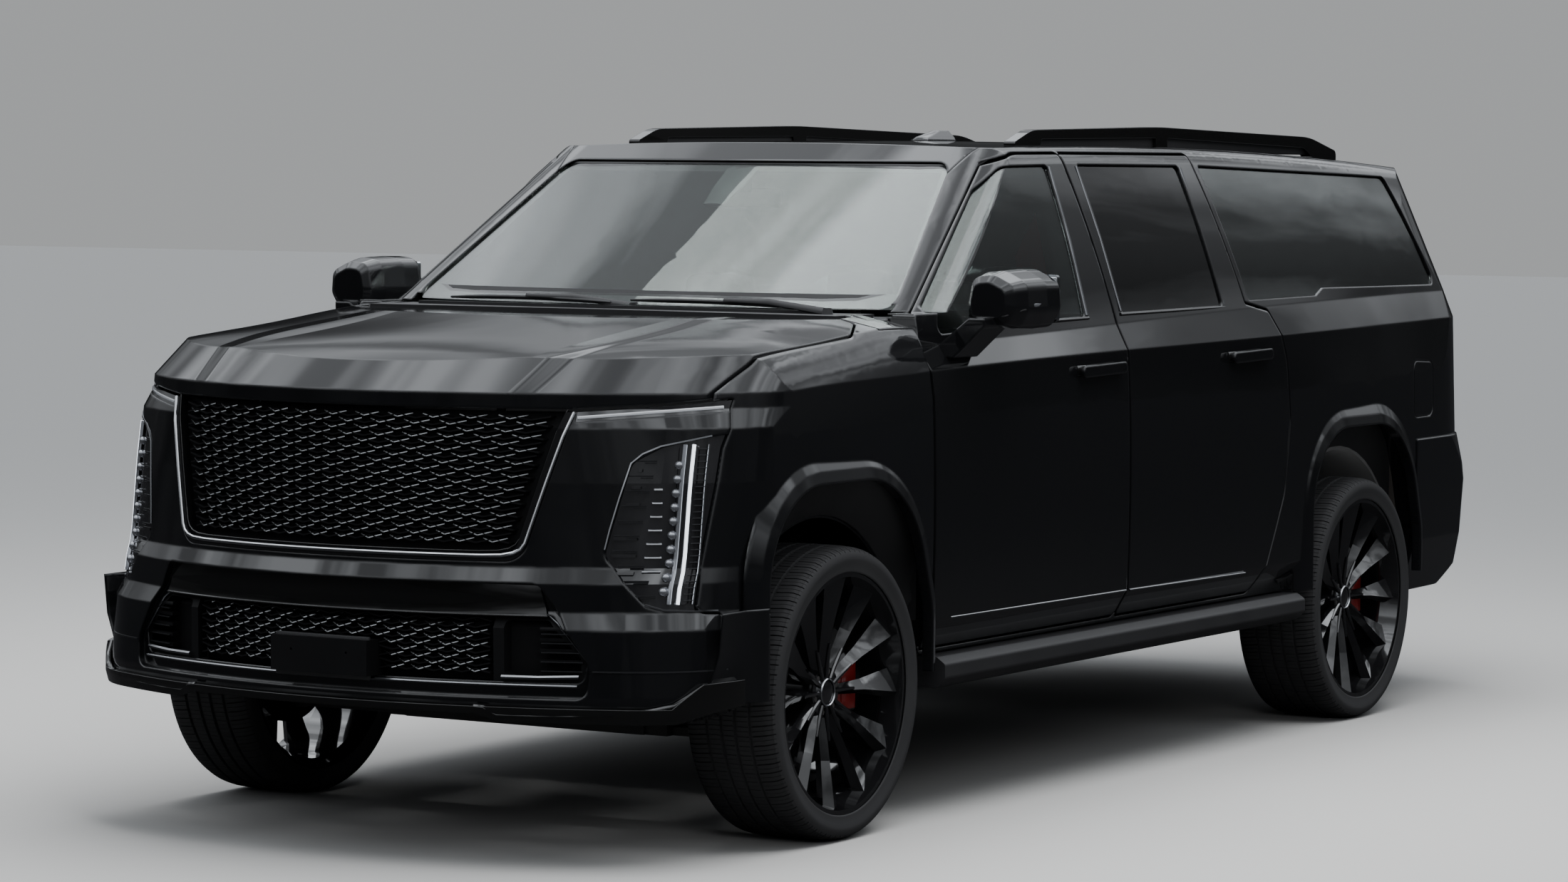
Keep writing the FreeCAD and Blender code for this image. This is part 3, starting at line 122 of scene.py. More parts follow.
def dome_group():
    """Height that rises inboard of the hood's two creases, which bow a little outward along its length."""
    group, given, out = new_group("hood_dome", (("Reach", 0.575), ("Bow", 0.22), ("Middle", -2.22), ("Blend", 0.035)),
                                  ("Height",))
    n, l = group.nodes, group.links
    coords = n.new("ShaderNodeTexCoord")
    parts = n.new("ShaderNodeSeparateXYZ")
    l.new(coords.outputs["Object"], parts.inputs[0])
    along = math_node(n, l, "SUBTRACT", parts.outputs["Y"], given.outputs["Middle"])
    fall = math_node(n, l, "MULTIPLY", math_node(n, l, "MULTIPLY", along, along), given.outputs["Bow"])
    reach = math_node(n, l, "SUBTRACT", given.outputs["Reach"], fall)
    inboard = math_node(n, l, "SUBTRACT", reach, math_node(n, l, "ABSOLUTE", parts.outputs["X"]))
    ramp = n.new("ShaderNodeMapRange")
    ramp.interpolation_type = "SMOOTHSTEP"
    l.new(inboard, ramp.inputs["Value"])
    l.new(math_node(n, l, "MULTIPLY", given.outputs["Blend"], -1.0), ramp.inputs["From Min"])
    l.new(given.outputs["Blend"], ramp.inputs["From Max"])
    l.new(ramp.outputs["Result"], out.inputs["Height"])
    return group


GROUPS = {}


def placed_group(material, name, values):
    """Puts a shared node group into a material with its own values."""
    if name not in GROUPS:
        GROUPS[name] = {"moulded_grain": grain_group, "inboard_zone": zone_group, "hood_dome": dome_group}[name]()
    node = material.node_tree.nodes.new("ShaderNodeGroup")
    node.node_tree = GROUPS[name]
    for label, value in values.items():
        node.inputs[label].default_value = value
    return node


def ranged(material, source, low, high):
    """Carries a 0 to 1 value onto a narrower range."""
    node = material.node_tree.nodes.new("ShaderNodeMapRange")
    node.inputs["To Min"].default_value = low
    node.inputs["To Max"].default_value = high
    material.node_tree.links.new(source, node.inputs["Value"])
    return node.outputs["Result"]


def mixed_colour(material, mask, first, second):
    """Colour that goes from first to second with a mask."""
    node = material.node_tree.nodes.new("ShaderNodeMix")
    node.data_type = "RGBA"
    node.inputs["A"].default_value = (*first, 1.0)
    node.inputs["B"].default_value = (*second, 1.0)
    material.node_tree.links.new(mask, node.inputs["Factor"])
    return node.outputs["Result"]


def finish(name, colour, other=None, rough=(0.3, 0.4), grain=400.0, drift=3.0, bump=0.0, metallic=0.0, coat=0.0,
           coat_rough=0.03, transmission=0.0, ior=1.5, sheen=0.0, specular=0.5, distance=0.0004, soft_edge=0.0,
           glow=0.0):
    """Material whose colour, roughness and bump come from the shared grain group; soft_edge rounds its edges."""
    material = bpy.data.materials.new(name)
    material.use_nodes = True
    tree = material.node_tree
    shader = tree.nodes["Principled BSDF"]
    shader.inputs["Metallic"].default_value = metallic
    shader.inputs["Coat Weight"].default_value = coat
    shader.inputs["Coat Roughness"].default_value = coat_rough
    shader.inputs["Transmission Weight"].default_value = transmission
    shader.inputs["IOR"].default_value = ior
    shader.inputs["Sheen Weight"].default_value = sheen
    shader.inputs["Specular IOR Level"].default_value = specular
    group = placed_group(material, "moulded_grain", {"Scale": grain, "Drift": drift})
    mask = group.outputs["Mask"]
    tree.links.new(mixed_colour(material, mask, colour, other or colour), shader.inputs["Base Color"])
    tree.links.new(ranged(material, mask, *rough), shader.inputs["Roughness"])
    if glow:
        shader.inputs["Emission Color"].default_value = (*colour, 1.0)
        shader.inputs["Emission Strength"].default_value = glow
    normal = None
    if soft_edge:
        rounded = tree.nodes.new("ShaderNodeBevel")
        rounded.samples = 6
        rounded.inputs["Radius"].default_value = soft_edge
        normal = rounded.outputs["Normal"]
    if bump:
        relief = tree.nodes.new("ShaderNodeBump")
        relief.inputs["Strength"].default_value = bump
        relief.inputs["Distance"].default_value = distance
        tree.links.new(group.outputs["Height"], relief.inputs["Height"])
        if normal:
            tree.links.new(normal, relief.inputs["Normal"])
        normal = relief.outputs["Normal"]
    if normal:
        tree.links.new(normal, shader.inputs["Normal"])
        if soft_edge:
            tree.links.new(rounded.outputs["Normal"], shader.inputs["Coat Normal"])
    return material


def lined(name, skin, lining, rough_skin, rough_lining, reach, top):
    """Painted panel with its cabin side in a lining; reach and top say where the lining is."""
    material = finish(name, skin, rough=(rough_skin, rough_skin + 0.03), coat=1.0, grain=900.0, specular=0.1,
                      soft_edge=0.009)
    tree = material.node_tree
    shader = tree.nodes["Principled BSDF"]
    zone = placed_group(material, "inboard_zone", {"Reach": reach, "Top": top})
    mask = zone.outputs["Mask"]
    tree.links.new(mixed_colour(material, mask, skin, lining), shader.inputs["Base Color"])
    tree.links.new(ranged(material, mask, rough_skin, rough_lining), shader.inputs["Roughness"])
    tree.links.new(ranged(material, mask, 1.0, 0.0), shader.inputs["Coat Weight"])
    return material


def domed(paint):
    """Gloss paint of the hood, with the two long creases of its raised middle."""
    material = finish("hood_paint", paint, PAINT_DRIFT, (0.05, 0.09), 1400.0, 2.0, specular=0.55,
                      soft_edge=0.009)
    tree = material.node_tree
    shader = tree.nodes["Principled BSDF"]
    relief = tree.nodes.new("ShaderNodeBump")
    relief.inputs["Strength"].default_value = 1.0
    relief.inputs["Distance"].default_value = 0.010
    tree.links.new(placed_group(material, "hood_dome", {}).outputs["Height"], relief.inputs["Height"])
    tree.links.new(shader.inputs["Normal"].links[0].from_socket, relief.inputs["Normal"])
    tree.links.new(relief.outputs["Normal"], shader.inputs["Normal"])
    return material


# Base colours: the body's gloss black with its drift, and the cabin's lining
PAINT = (0.0035, 0.0036, 0.0040)
PAINT_DRIFT = (0.0042, 0.0044, 0.005)
LINING = (0.045, 0.041, 0.038)
MATERIALS = {}


def build_materials(settings):
    """All finishes of the suv, by name."""
    paint = tuple(settings.paint)
    M = MATERIALS
    M["paint"] = finish("body_paint", paint, PAINT_DRIFT, (0.05, 0.09), 1400.0, 2.0, 0.0, coat=1.0,
                        specular=0.1, soft_edge=0.009)
    M["hood"] = domed(paint)
    M["mesh"] = finish("mesh_black", (0.0035, 0.0035, 0.004), (0.006, 0.006, 0.0065), (0.5, 0.62), 900.0, 6.0, 0.25,
                       specular=0.12)
    M["panel"] = lined("lined_panel", paint, LINING, 0.06, 0.62, 0.948, 1.335)
    M["side"] = lined("lined_side", paint, LINING, 0.06, 0.62, 0.935, 1.335)
    M["gloss"] = finish("gloss_black_trim", (0.004, 0.004, 0.004), rough=(0.07, 0.12), coat=1.0, specular=0.1,
                        soft_edge=0.003)
    M["plastic"] = finish("black_plastic", (0.010, 0.010, 0.011), (0.016, 0.016, 0.017), (0.42, 0.58), 900.0, 6.0, 0.35)
    M["glass"] = finish("cabin_glass", (0.50, 0.57, 0.55), (0.54, 0.60, 0.58), (0.0, 0.01), transmission=1.0, ior=1.45)
    M["dark_glass"] = finish("privacy_glass", (0.022, 0.025, 0.026), (0.028, 0.031, 0.032), (0.0, 0.01),
                             transmission=1.0, ior=1.45)
    M["red_lamp"] = finish("red_lens", (0.22, 0.004, 0.006), (0.30, 0.008, 0.010), (0.08, 0.14), coat=1.0)
    M["red_glow"] = finish("red_guide", (0.55, 0.010, 0.012), (0.60, 0.014, 0.014), (0.08, 0.14), coat=1.0, glow=0.25)
    M["bright"] = finish("satin_bright_trim", (0.56, 0.57, 0.59), (0.62, 0.63, 0.65), (0.16, 0.26), metallic=1.0)
    M["satin"] = finish("dark_satin_trim", (0.20, 0.205, 0.215), (0.26, 0.265, 0.275), (0.20, 0.30), metallic=1.0)
    # Painted highlight: brighter metal for the chevron strips that stand in for the highlights along the grilles' mesh
    # edges
    M["chevron"] = finish("mesh_painted_highlight", (0.16, 0.165, 0.17), (0.20, 0.205, 0.21), (0.22, 0.30), metallic=1.0)
    M["lit"] = finish("lit_guide", (0.86, 0.92, 1.0), rough=(0.2, 0.3), glow=1.6)
    M["pale_lens"] = finish("strip_lens", (0.42, 0.44, 0.47), (0.50, 0.52, 0.55), (0.08, 0.16), coat=1.0)
    M["lens_chrome"] = finish("projector_glass", (0.22, 0.23, 0.25), (0.34, 0.35, 0.38), (0.04, 0.09), metallic=0.8,
                              coat=1.0)
    M["mirror"] = finish("mirror_glass", (0.60, 0.62, 0.64), rough=(0.01, 0.02), metallic=1.0)
    M["lamp_panel"] = finish("lamp_dark_panel", (0.006, 0.006, 0.007), (0.010, 0.010, 0.011), (0.06, 0.12), coat=1.0)
    M["tyre"] = finish("tyre_rubber", (0.011, 0.011, 0.012), (0.020, 0.020, 0.021), (0.60, 0.78), 700.0, 5.0, 0.4)
    M["rim"] = finish("rim_black", (0.004, 0.004, 0.0045), (0.006, 0.006, 0.0065), (0.05, 0.09), coat=1.0)
    M["steel"] = finish("frame_steel", (0.018, 0.018, 0.019), (0.032, 0.029, 0.027), (0.45, 0.70), 260.0, 7.0, 0.3)
    M["aluminium"] = finish("bare_aluminium", (0.34, 0.35, 0.36), (0.44, 0.45, 0.46), (0.32, 0.48), 300.0, 8.0, 0.2,
                            metallic=0.9)
    M["leather"] = finish("seat_leather", (0.020, 0.018, 0.017), (0.030, 0.027, 0.025), (0.42, 0.55), 520.0, 5.0, 0.55,
                          distance=0.0008)
    M["carpet"] = finish("floor_carpet", (0.020, 0.020, 0.021), (0.032, 0.031, 0.031), (0.85, 0.95), 900.0, 12.0, 0.9,
                         sheen=0.3, distance=0.0015)
    M["dash"] = finish("dash_skin", (0.016, 0.015, 0.015), (0.024, 0.023, 0.022), (0.50, 0.62), 620.0, 4.0, 0.5)
    M["brake"] = finish("calliper_red", (0.13, 0.006, 0.005), (0.17, 0.008, 0.007), (0.22, 0.34), coat=0.6)


# Which finish each carried-over solid gets
NODE_FINISH = {
    "hood": ("hood",),
    "mesh": ("main_grille", "lower_grille"),
    "paint": ("roof_panel", "tailgate", "front_fenders", "rear_bumper", "front_bumper", "roof_fin",
              "mirror_left", "mirror_right"),
    "panel": ("door_front_left", "door_front_right", "door_rear_left", "door_rear_right"),
    "side": ("body_side_left", "body_side_right"),
    "gloss": ("roof_rails", "front_lip"),
    "plastic": ("cowl_and_wipers", "running_boards"),
    "glass": ("fixed_glass", "glass_front_left", "glass_front_right"),
    "dark_glass": ("glass_rear_left", "glass_rear_right", "tailgate_glass"),
    "lamp_panel": ("front_lamps",),
    "red_lamp": ("tail_lamps",),
    "tyre": ("tyre_front_left", "tyre_front_right", "tyre_rear_left", "tyre_rear_right"),
    "rim": ("rim_front_left", "rim_front_right", "rim_rear_left", "rim_rear_right"),
    "steel": ("ladder_frame", "front_suspension", "rear_axle", "knuckle_left", "knuckle_right"),
    "aluminium": ("radiator", "engine_block", "exhaust"),
    "carpet": ("floor_pan",),
    "dash": ("dashboard",),
    "leather": ("seats",),
}


# Shapes shared by the pieces

# Plan outlines of the nose at a height: z, aft, bow radius, x of the corner's start, x of the flank, in millimetres
NOSE_ROWS = (
    (380, -1000, 1900, 800, 1006), (450, -1012, 1850, 805, 1012), (624, -1024, 1650, 812, 1018),
    (668, -1004, 1600, 800, 1006), (742, -1024, 1450, 800, 1012), (782, -1002, 1450, 815, 1011),
    (1000, -990, 1380, 845, 1013), (1140, -981, 1330, 850, 1011), (1190, -975, 1250, 830, 1006),
    (1230, -972, 1250, 810, 1004), (1400, -723, 1250, 760, 985),
)
# Plan outlines of the tail, in the same columns
TAIL_ROWS = (
    (380, 4660, 2500, 560, 965), (900, 4700, 2500, 580, 985), (1310, 4680, 2500, 575, 978),
    (1404, 4650, 2500, 560, 940), (1800, 4540, 2500, 440, 770), (1980, 4490, 2500, 400, 700),
)
# Plan outlines of the windscreen, in the same columns
SCREEN_ROWS = ((1300, 227, 2600, 880, 985), (1960, 1317, 5000, 610, 770))


def plan_depth(row, x):
    """How far one plan outline has fallen back at a distance from the centre plane."""
    _, _, bow, turn_x, flank = row
    end = math.radians(86)
    turn = math.asin(turn_x / bow)
    radius = (flank - turn_x) / (math.sin(end) - math.sin(turn))
    if x <= turn_x:
        return bow - math.sqrt(bow * bow - x * x)
    sine = min((x - turn_x) / radius + math.sin(turn), math.sin(end))
    return bow * (1 - math.cos(turn)) + radius * (math.cos(turn) - math.sqrt(1 - sine * sine))


def on_rows(rows, way, x, z, proud):
    """Point on a skin given by plan outlines, in metres; x, z and proud in millimetres."""
    for low, high in zip(rows, rows[1:]):
        if low[0] <= z <= high[0]:
            share = (z - low[0]) / (high[0] - low[0])
            low_y, high_y = (row[1] - way * plan_depth(row, abs(x)) for row in (low, high))
            return Vector((x / 1000.0, at(low_y * (1 - share) + high_y * share + way * proud), z / 1000.0))
    raise ValueError("no outline at height %s" % z)


def on_nose(x, z, proud=0.0):
    """Point on the nose's skin; proud stands it off forward."""
    return on_rows(NOSE_ROWS, -1, x, z, proud)


def on_tail(x, z, proud=0.0):
    """Point on the tail's skin; proud stands it off rearward."""
    return on_rows(TAIL_ROWS, 1, x, z, proud)


def piece(name, bm, body, key, angle=35.0):
    """Finished object from a bmesh, with its finish, riding on a body."""
    bmesh.ops.recalc_face_normals(bm, faces=bm.faces)
    mesh = bpy.data.meshes.new(name)
    bm.to_mesh(mesh)
    bm.free()
    mesh.materials.append(MATERIALS[key])
    for polygon in mesh.polygons:
        polygon.use_smooth = True
    mesh.set_sharp_from_angle(angle=math.radians(angle))
    obj = bpy.data.objects.new(name, mesh)
    bpy.context.scene.collection.objects.link(obj)
    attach(obj, body)
    return obj


def block(bm, low, high, bevel=0.0, segments=2):
    """Box between two corners with rounded edges."""
    low, high = Vector(low), Vector(high)
    size = high - low
    place = Matrix.Translation((low + high) / 2) @ Matrix.Diagonal((*size, 1))
    made = bmesh.ops.create_cube(bm, size=1.0, matrix=place)
    if bevel:
        edges = {e for v in made["verts"] for e in v.link_edges}
        bmesh.ops.bevel(bm, geom=list(edges), offset=bevel, segments=segments, profile=0.5, affect="EDGES", material=-1)


def section_frame(place, ahead, out, width, depth):
    """Matrix that carries a unit section onto a path: width across the path, depth along out."""
    ahead = ahead.normalized()
    side = out.cross(ahead).normalized()
    out = ahead.cross(side).normalized()
    turn = Matrix((side * width / 2, out * depth / 2, ahead)).transposed().to_4x4()
    return Matrix.Translation(place) @ turn


def lofted(bm, rings):
    """Closed solid through rings of points, with a flat face at each end."""
    loops = [[bm.verts.new(p) for p in ring] for ring in rings]
    for loop in (loops[0], loops[-1]):
        bm.faces.new(loop)
    edges = [[bm.edges.get(pair) or bm.edges.new(pair) for pair in zip(loop, loop[1:] + loop[:1])] for loop in loops]
    for one, two in zip(edges, edges[1:]):
        bmesh.ops.bridge_loops(bm, edges=one + two)


def swept(bm, points, width, depth, out, corners=8, taper=None):
    """Closed bar whose section is carried along a path of points; out is the way its depth looks."""
    points = [Vector(p) for p in points]
    loops = []
    for i, place in enumerate(points):
        ahead = points[min(i + 1, len(points) - 1)] - points[max(i - 1, 0)]
        size = taper[i] if taper else 1.0
        frame_here = section_frame(place, ahead, Vector(out), width * size, depth * size)
        frame_here = frame_here @ Matrix.Rotation(math.pi / corners, 4, "Z")
        made = bmesh.ops.create_circle(bm, segments=corners, radius=1.0 / math.cos(math.pi / corners),
                                       matrix=frame_here)
        loops.append(list({e for v in made["verts"] for e in v.link_edges}))
    for one, two in zip(loops, loops[1:]):
        bmesh.ops.bridge_loops(bm, edges=one + two)
    bmesh.ops.holes_fill(bm, edges=loops[0] + loops[-1], sides=corners)


AHEAD, BEHIND, OUTWARD = (0, -1, 0), (0, 1, 0), (1, 0, 0)


def nose_line(points, proud):
    """Points on the nose's skin, from pairs of x and z in millimetres."""
    return [on_nose(x, z, proud) for x, z in points]


def tail_line(points, proud):
    """Points on the tail's skin, from pairs of x and z in millimetres."""
    return [on_tail(x, z, proud) for x, z in points]


def bars(*paths):
    """Builder of swept bars; each path holds points, width, depth, out, and corners and taper where they differ."""
    def build(bm):
        for path in paths:
            swept(bm, *path)
    return build


def single(name, key, build, body="root", angle=35.0):
    """Piece on the centre line, made by build."""
    bm = bmesh.new()
    build(bm)
    return piece(name, bm, body, key, angle)


def pair(name, key, build, body="root", angle=30.0):
    """Piece that build makes on the left, and its mirror image; SIDE in a body's name stands for the side."""
    for sign, side in SIDES:
        bm = bmesh.new()
        build(bm)
        if sign < 0:
            bmesh.ops.scale(bm, vec=(-1, 1, 1), verts=bm.verts)
        piece("%s_%s" % (name, side), bm, body.replace("SIDE", side), key, angle)


class BodySettings(bpy.types.PropertyGroup):
    """Colours and finish of the body"""
    paint: FloatVectorProperty(name="Paint", description="Base colour of the gloss black body", subtype="COLOR",
                               size=3, min=0.0, max=1.0, default=PAINT)


class FrontSettings(bpy.types.PropertyGroup):
    """Grille chevron size"""
    chevron_share: FloatProperty(name="Chevron share", min=0.4, max=1.0, default=0.72,
                                 description="How much of its place in the mesh a chevron's arm fills")


class StageSettings(bpy.types.PropertyGroup):
    """Floor, lights and camera"""
    floor_tone: FloatVectorProperty(name="Floor", description="Colour of the studio floor", subtype="COLOR", size=3,
                                    min=0.0, max=1.0, default=(0.44, 0.44, 0.435))
    # Painted reflection: the floor's colour as the body's gloss shows it, darker than the floor is
    painted_floor_reflection: FloatVectorProperty(name="Mirrored floor", description="Colour of the floor in the body's gloss",
                                        subtype="COLOR", size=3, min=0.0, max=1.0, default=(0.022, 0.022, 0.023))
    mirrored_sky: FloatProperty(name="Mirrored sky", description="Strength of the soft light from above in the gloss",
                                default=3.0)
    backdrop: FloatVectorProperty(name="Backdrop", description="Colour behind the floor's far edge", subtype="COLOR",
                                  size=3, min=0.0, max=1.0, default=(0.382, 0.391, 0.396))
    overhead: FloatProperty(name="Overhead light", description="Power of the large overhead light", unit="POWER",
                            default=900.0)
    lens: FloatProperty(name="Lens", description="Focal length of the camera", unit="CAMERA", default=108.41)


class SUV_OT_finishes(bpy.types.Operator):
    """Give every carried-over solid its finish"""
    bl_idname = "suv.finishes"
    bl_label = "Finishes"

    def execute(self, context):
        build_materials(context.scene.suv_body)
        seen = set()
        for key, names in NODE_FINISH.items():
            for name in names:
                node = NODES[name]
                node.data.materials.clear()
                node.data.materials.append(MATERIALS[key])
                seen.add(name)
        missing = sorted(set(NODES) - seen)
        if missing:
            raise RuntimeError("nodes without a finish: %s" % missing)
        return {"FINISHED"}


TREAD_PITCHES = 92
# Where the tread's columns stand in one pitch, and whether each is a sipe's or a lateral groove's floor
TREAD_COLUMNS = ((0.0, ""), (0.42, ""), (0.445, "sipe"), (0.47, ""), (0.86, ""), (0.89, "groove"), (0.97, "groove"))
SHOULDER_CUTS = {"groove": 0.0060, "sipe": 0.0030}
RIB_CUTS = {"groove": 0.0024, "sipe": 0.0024}
# Half tyre section about its middle: x outboard and radius in millimetres, with the tread's ribs and grooves last
TYRE_SECTION = (
    (100, 331.5), (112, 333.5), (119, 340.5), (127, 341), (129.2, 339.5), (129.4, 329.5), (131.5, 328.4), (134, 331.5),
    (135.5, 341), (138, 352), (141, 362), (141.6, 369), (139.5, 377),
    (137, 383), (132, 389), (128, 390), (121, 394.5), (108, 397), (84, 398.6), (72, 399), (70, 392), (63, 392),
    (61, 399.2), (42, 399.5), (27, 399.6), (25, 392), (17, 392), (15, 399.7), (0, 399.8),
)


class SUV_OT_tyres(bpy.types.Operator):
    """Make the four tyres with ribs, grooves and sipes"""
    bl_idname = "suv.tyres"
    bl_label = "Tyres"

    def execute(self, context):
        columns = len(TREAD_COLUMNS)
        pitch = 2 * math.pi / TREAD_PITCHES
        for centre_y, axle in AXLES:
            for sign, side in SIDES:
                bm = bmesh.new()
                half = [bm.verts.new((x / 1000.0, 0.0, r / 1000.0)) for x, r in TYRE_SECTION]
                other = [bm.verts.new((-x / 1000.0, 0.0, r / 1000.0)) for x, r in reversed(TYRE_SECTION[:-1])]
                line = half + other
                for one, two in zip(line, line[1:]):
                    bm.edges.new((one, two))
                bmesh.ops.spin(bm, geom=bm.verts[:] + bm.edges[:], cent=(0, 0, 0), axis=(1, 0, 0),
                               angle=2 * math.pi, steps=TREAD_PITCHES * columns, use_merge=True)
                for vert in bm.verts:
                    x, radius = vert.co.x, math.hypot(vert.co.y, vert.co.z)
                    if radius < 0.380:
                        continue
                    turn = math.atan2(vert.co.y, vert.co.z) % (2 * math.pi)
                    step = int(round(turn / (pitch / columns)))
                    share, kind = TREAD_COLUMNS[step % columns]
                    skew = 0.30 * pitch * max(0.0, abs(x) - 0.06) / 0.07
                    turn = (step // columns + share) * pitch + skew * (1 if x > 0 else -1)
                    if abs(x) > 0.071 and radius > 0.3880:
                        radius -= SHOULDER_CUTS.get(kind, 0.0)
                    elif abs(x) < 0.062 and radius > 0.395:
                        radius -= RIB_CUTS.get(kind, 0.0)
                    vert.co = Vector((x, radius * math.sin(turn), radius * math.cos(turn)))
                bmesh.ops.translate(bm, vec=(sign * TYRE_CENTRE_X, centre_y, TYRE_RADIUS), verts=bm.verts)
                tyre = piece("tread_tyre_%s_%s" % (axle, side), bm, "wheel_%s_%s" % (axle, side), "tyre", 28.0)
                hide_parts("tyre_%s_%s" % (axle, side))
        return {"FINISHED"}


# Turned outlines: distance outboard of the hub's face, radius
CAP_OUTLINE = ((0.001, 0.0), (0.0085, 0.0001), (0.008, 0.018), (0.006, 0.031), (-0.001, 0.034))
RING_OUTLINE = ((-0.001, 0.0335), (0.008, 0.0340), (0.0105, 0.0360), (0.008, 0.0385), (-0.001, 0.0400))
# Centre line of a spoke's root: distance outboard of the hub's face, radius
ROOT_LINE = ((0.0035, 0.041), (0.0050, 0.072), (0.0090, 0.104), (0.0130, 0.132))
SPOKES = 12
NUTS = 6


class SUV_OT_wheel_trim(bpy.types.Operator):
    """Make the wheels' centre caps, rings, spoke roots and nuts, and the red brake callipers"""
    bl_idname = "suv.wheel_trim"
    bl_label = "Wheel trim"

    def execute(self, context):
        roots = []
        for i in range(SPOKES):
            angle = 2 * math.pi * i / SPOKES
            line = [(HUB_FACE_X + rise, r * math.sin(angle), r * math.cos(angle)) for rise, r in ROOT_LINE]
            roots.append((line, 0.013, 0.010, OUTWARD, 6, (0.75, 0.9, 0.8, 0.5)))
        for centre_y, axle in AXLES:
            knuckle = "knuckle_SIDE_body" if axle == "front" else "root"
            for name, key, body, build in (
                ("wheel_cap", "rim", "", lambda bm: self.turned(bm, CAP_OUTLINE, 48)),
                ("wheel_cap_ring", "bright", "", lambda bm: self.turned(bm, RING_OUTLINE, 56)),
                ("spoke_roots", "rim", "", bars(*roots)),
                ("wheel_nuts", "steel", "", self.nuts),
                ("calliper_skin", "brake", knuckle, self.calliper),
            ):
                def at_axle(bm):
                    build(bm)
                    bmesh.ops.translate(bm, vec=(0, centre_y, TYRE_RADIUS), verts=bm.verts)
                pair("%s_%s" % (name, axle), key, at_axle, body or "wheel_%s_SIDE" % axle, 32.0)
        return {"FINISHED"}

    def turned(self, bm, outline, steps):
        """Closed turned shape about the wheel's axle."""
        line = [bm.verts.new((HUB_FACE_X + x, 0.0, r)) for x, r in outline]
        edges = [bm.edges.new(ends) for ends in zip(line, line[1:])]
        bmesh.ops.spin(bm, geom=line + edges, cent=(0, 0, 0), axis=(1, 0, 0), angle=2 * math.pi, steps=steps,
                       use_merge=True)
        bmesh.ops.remove_doubles(bm, verts=bm.verts, dist=0.00002)

    def nuts(self, bm):
        """Nuts sunk between the spokes' roots."""
        for i in range(NUTS):
            angle = math.radians(15) + 2 * math.pi * i / NUTS
            place = Matrix.Translation((HUB_FACE_X - 0.002, 0.056 * math.sin(angle), 0.056 * math.cos(angle)))
            made = bmesh.ops.create_cone(bm, cap_ends=True, segments=6, radius1=0.0085, radius2=0.0078, depth=0.008,
                                         matrix=place @ Matrix.Rotation(math.pi / 2, 4, "Y"))
            edges = {e for v in made["verts"] for e in v.link_edges}
            bmesh.ops.bevel(bm, geom=list(edges), offset=0.0010, segments=2, profile=0.5, affect="EDGES", material=-1)

    def calliper(self, bm):
        """Red skin of the brake calliper, seen between the spokes."""
        block(bm, (0.8973, 0.122, -0.066), (0.9035, 0.224, 0.086), 0.0028)
        block(bm, (0.9010, 0.142, -0.044), (0.9065, 0.204, 0.064), 0.0024)


ROW_PITCH = 16.75
CHEVRON_COLUMNS = 12


class SUV_OT_grille(bpy.types.Operator):
    """Make the chevrons of both grilles, brighter metal strips that paint the highlights on the mesh's upper edges, and
    the bright frame
    """
    bl_idname = "suv.grille"
    bl_label = "Grilles"

    def execute(self, context):
        share = context.scene.suv_front.chevron_share
        for name, low_z, rows, half_at, depth in (
            ("grille_chevron_highlights", 849.0, 20, lambda z: 508 + (z - 834) * 0.26, 9.0),
            ("lower_chevron_highlights", 512.0, 9, lambda z: 468.0, 33.0),
        ):
            arms = []
            for row in range(rows):
                z = low_z + row * ROW_PITCH
                step = half_at(z) / CHEVRON_COLUMNS
                for i in range(-CHEVRON_COLUMNS, CHEVRON_COLUMNS + 1):
                    if (i + row) % 2 == 0 or abs(i * step) > half_at(z) - step * 0.3:
                        continue
                    # The plate carrier covers the middle of the lower grille
                    if name == "lower_chevron_highlights" and abs(i * step) < 190 and z < 592:
                        continue
                    # Two thin arms rise and fall back from a point
                    for way in (1, -1):
                        arms.append(([on_nose(i * step, z - 4.5, -depth),
                                      on_nose(i * step + way * step * share, z + 4.5, -depth - 13.0)],
                                     0.0026, 0.004, (0, -1, 0.35), 4))
            # Painted highlight: the arms are brighter metal strips laid along the mesh's upper edges where highlights
            # fall
            single(name, "chevron", bars(*arms), angle=20.0)
        right = [(500, 812), (528, 818), (545, 828), (556, 845)]
        right += [(556 + (z - 845) * 0.272, z) for z in (880, 940, 1000, 1060, 1120, 1182)]
        path = [(-x, z) for x, z in reversed(right)] + [(x, 810) for x in range(-450, 451, 50)] + right
        inner = [(x * 0.972, min(z + 12, 1188)) for x, z in path]
        single("grille_frame", "bright", bars((nose_line(path, 4), 0.0095, 0.007, AHEAD)), angle=30.0)
        single("grille_inner_line", "gloss", bars((nose_line(inner, -4), 0.004, 0.006, AHEAD)), angle=30.0)
        return {"FINISHED"}


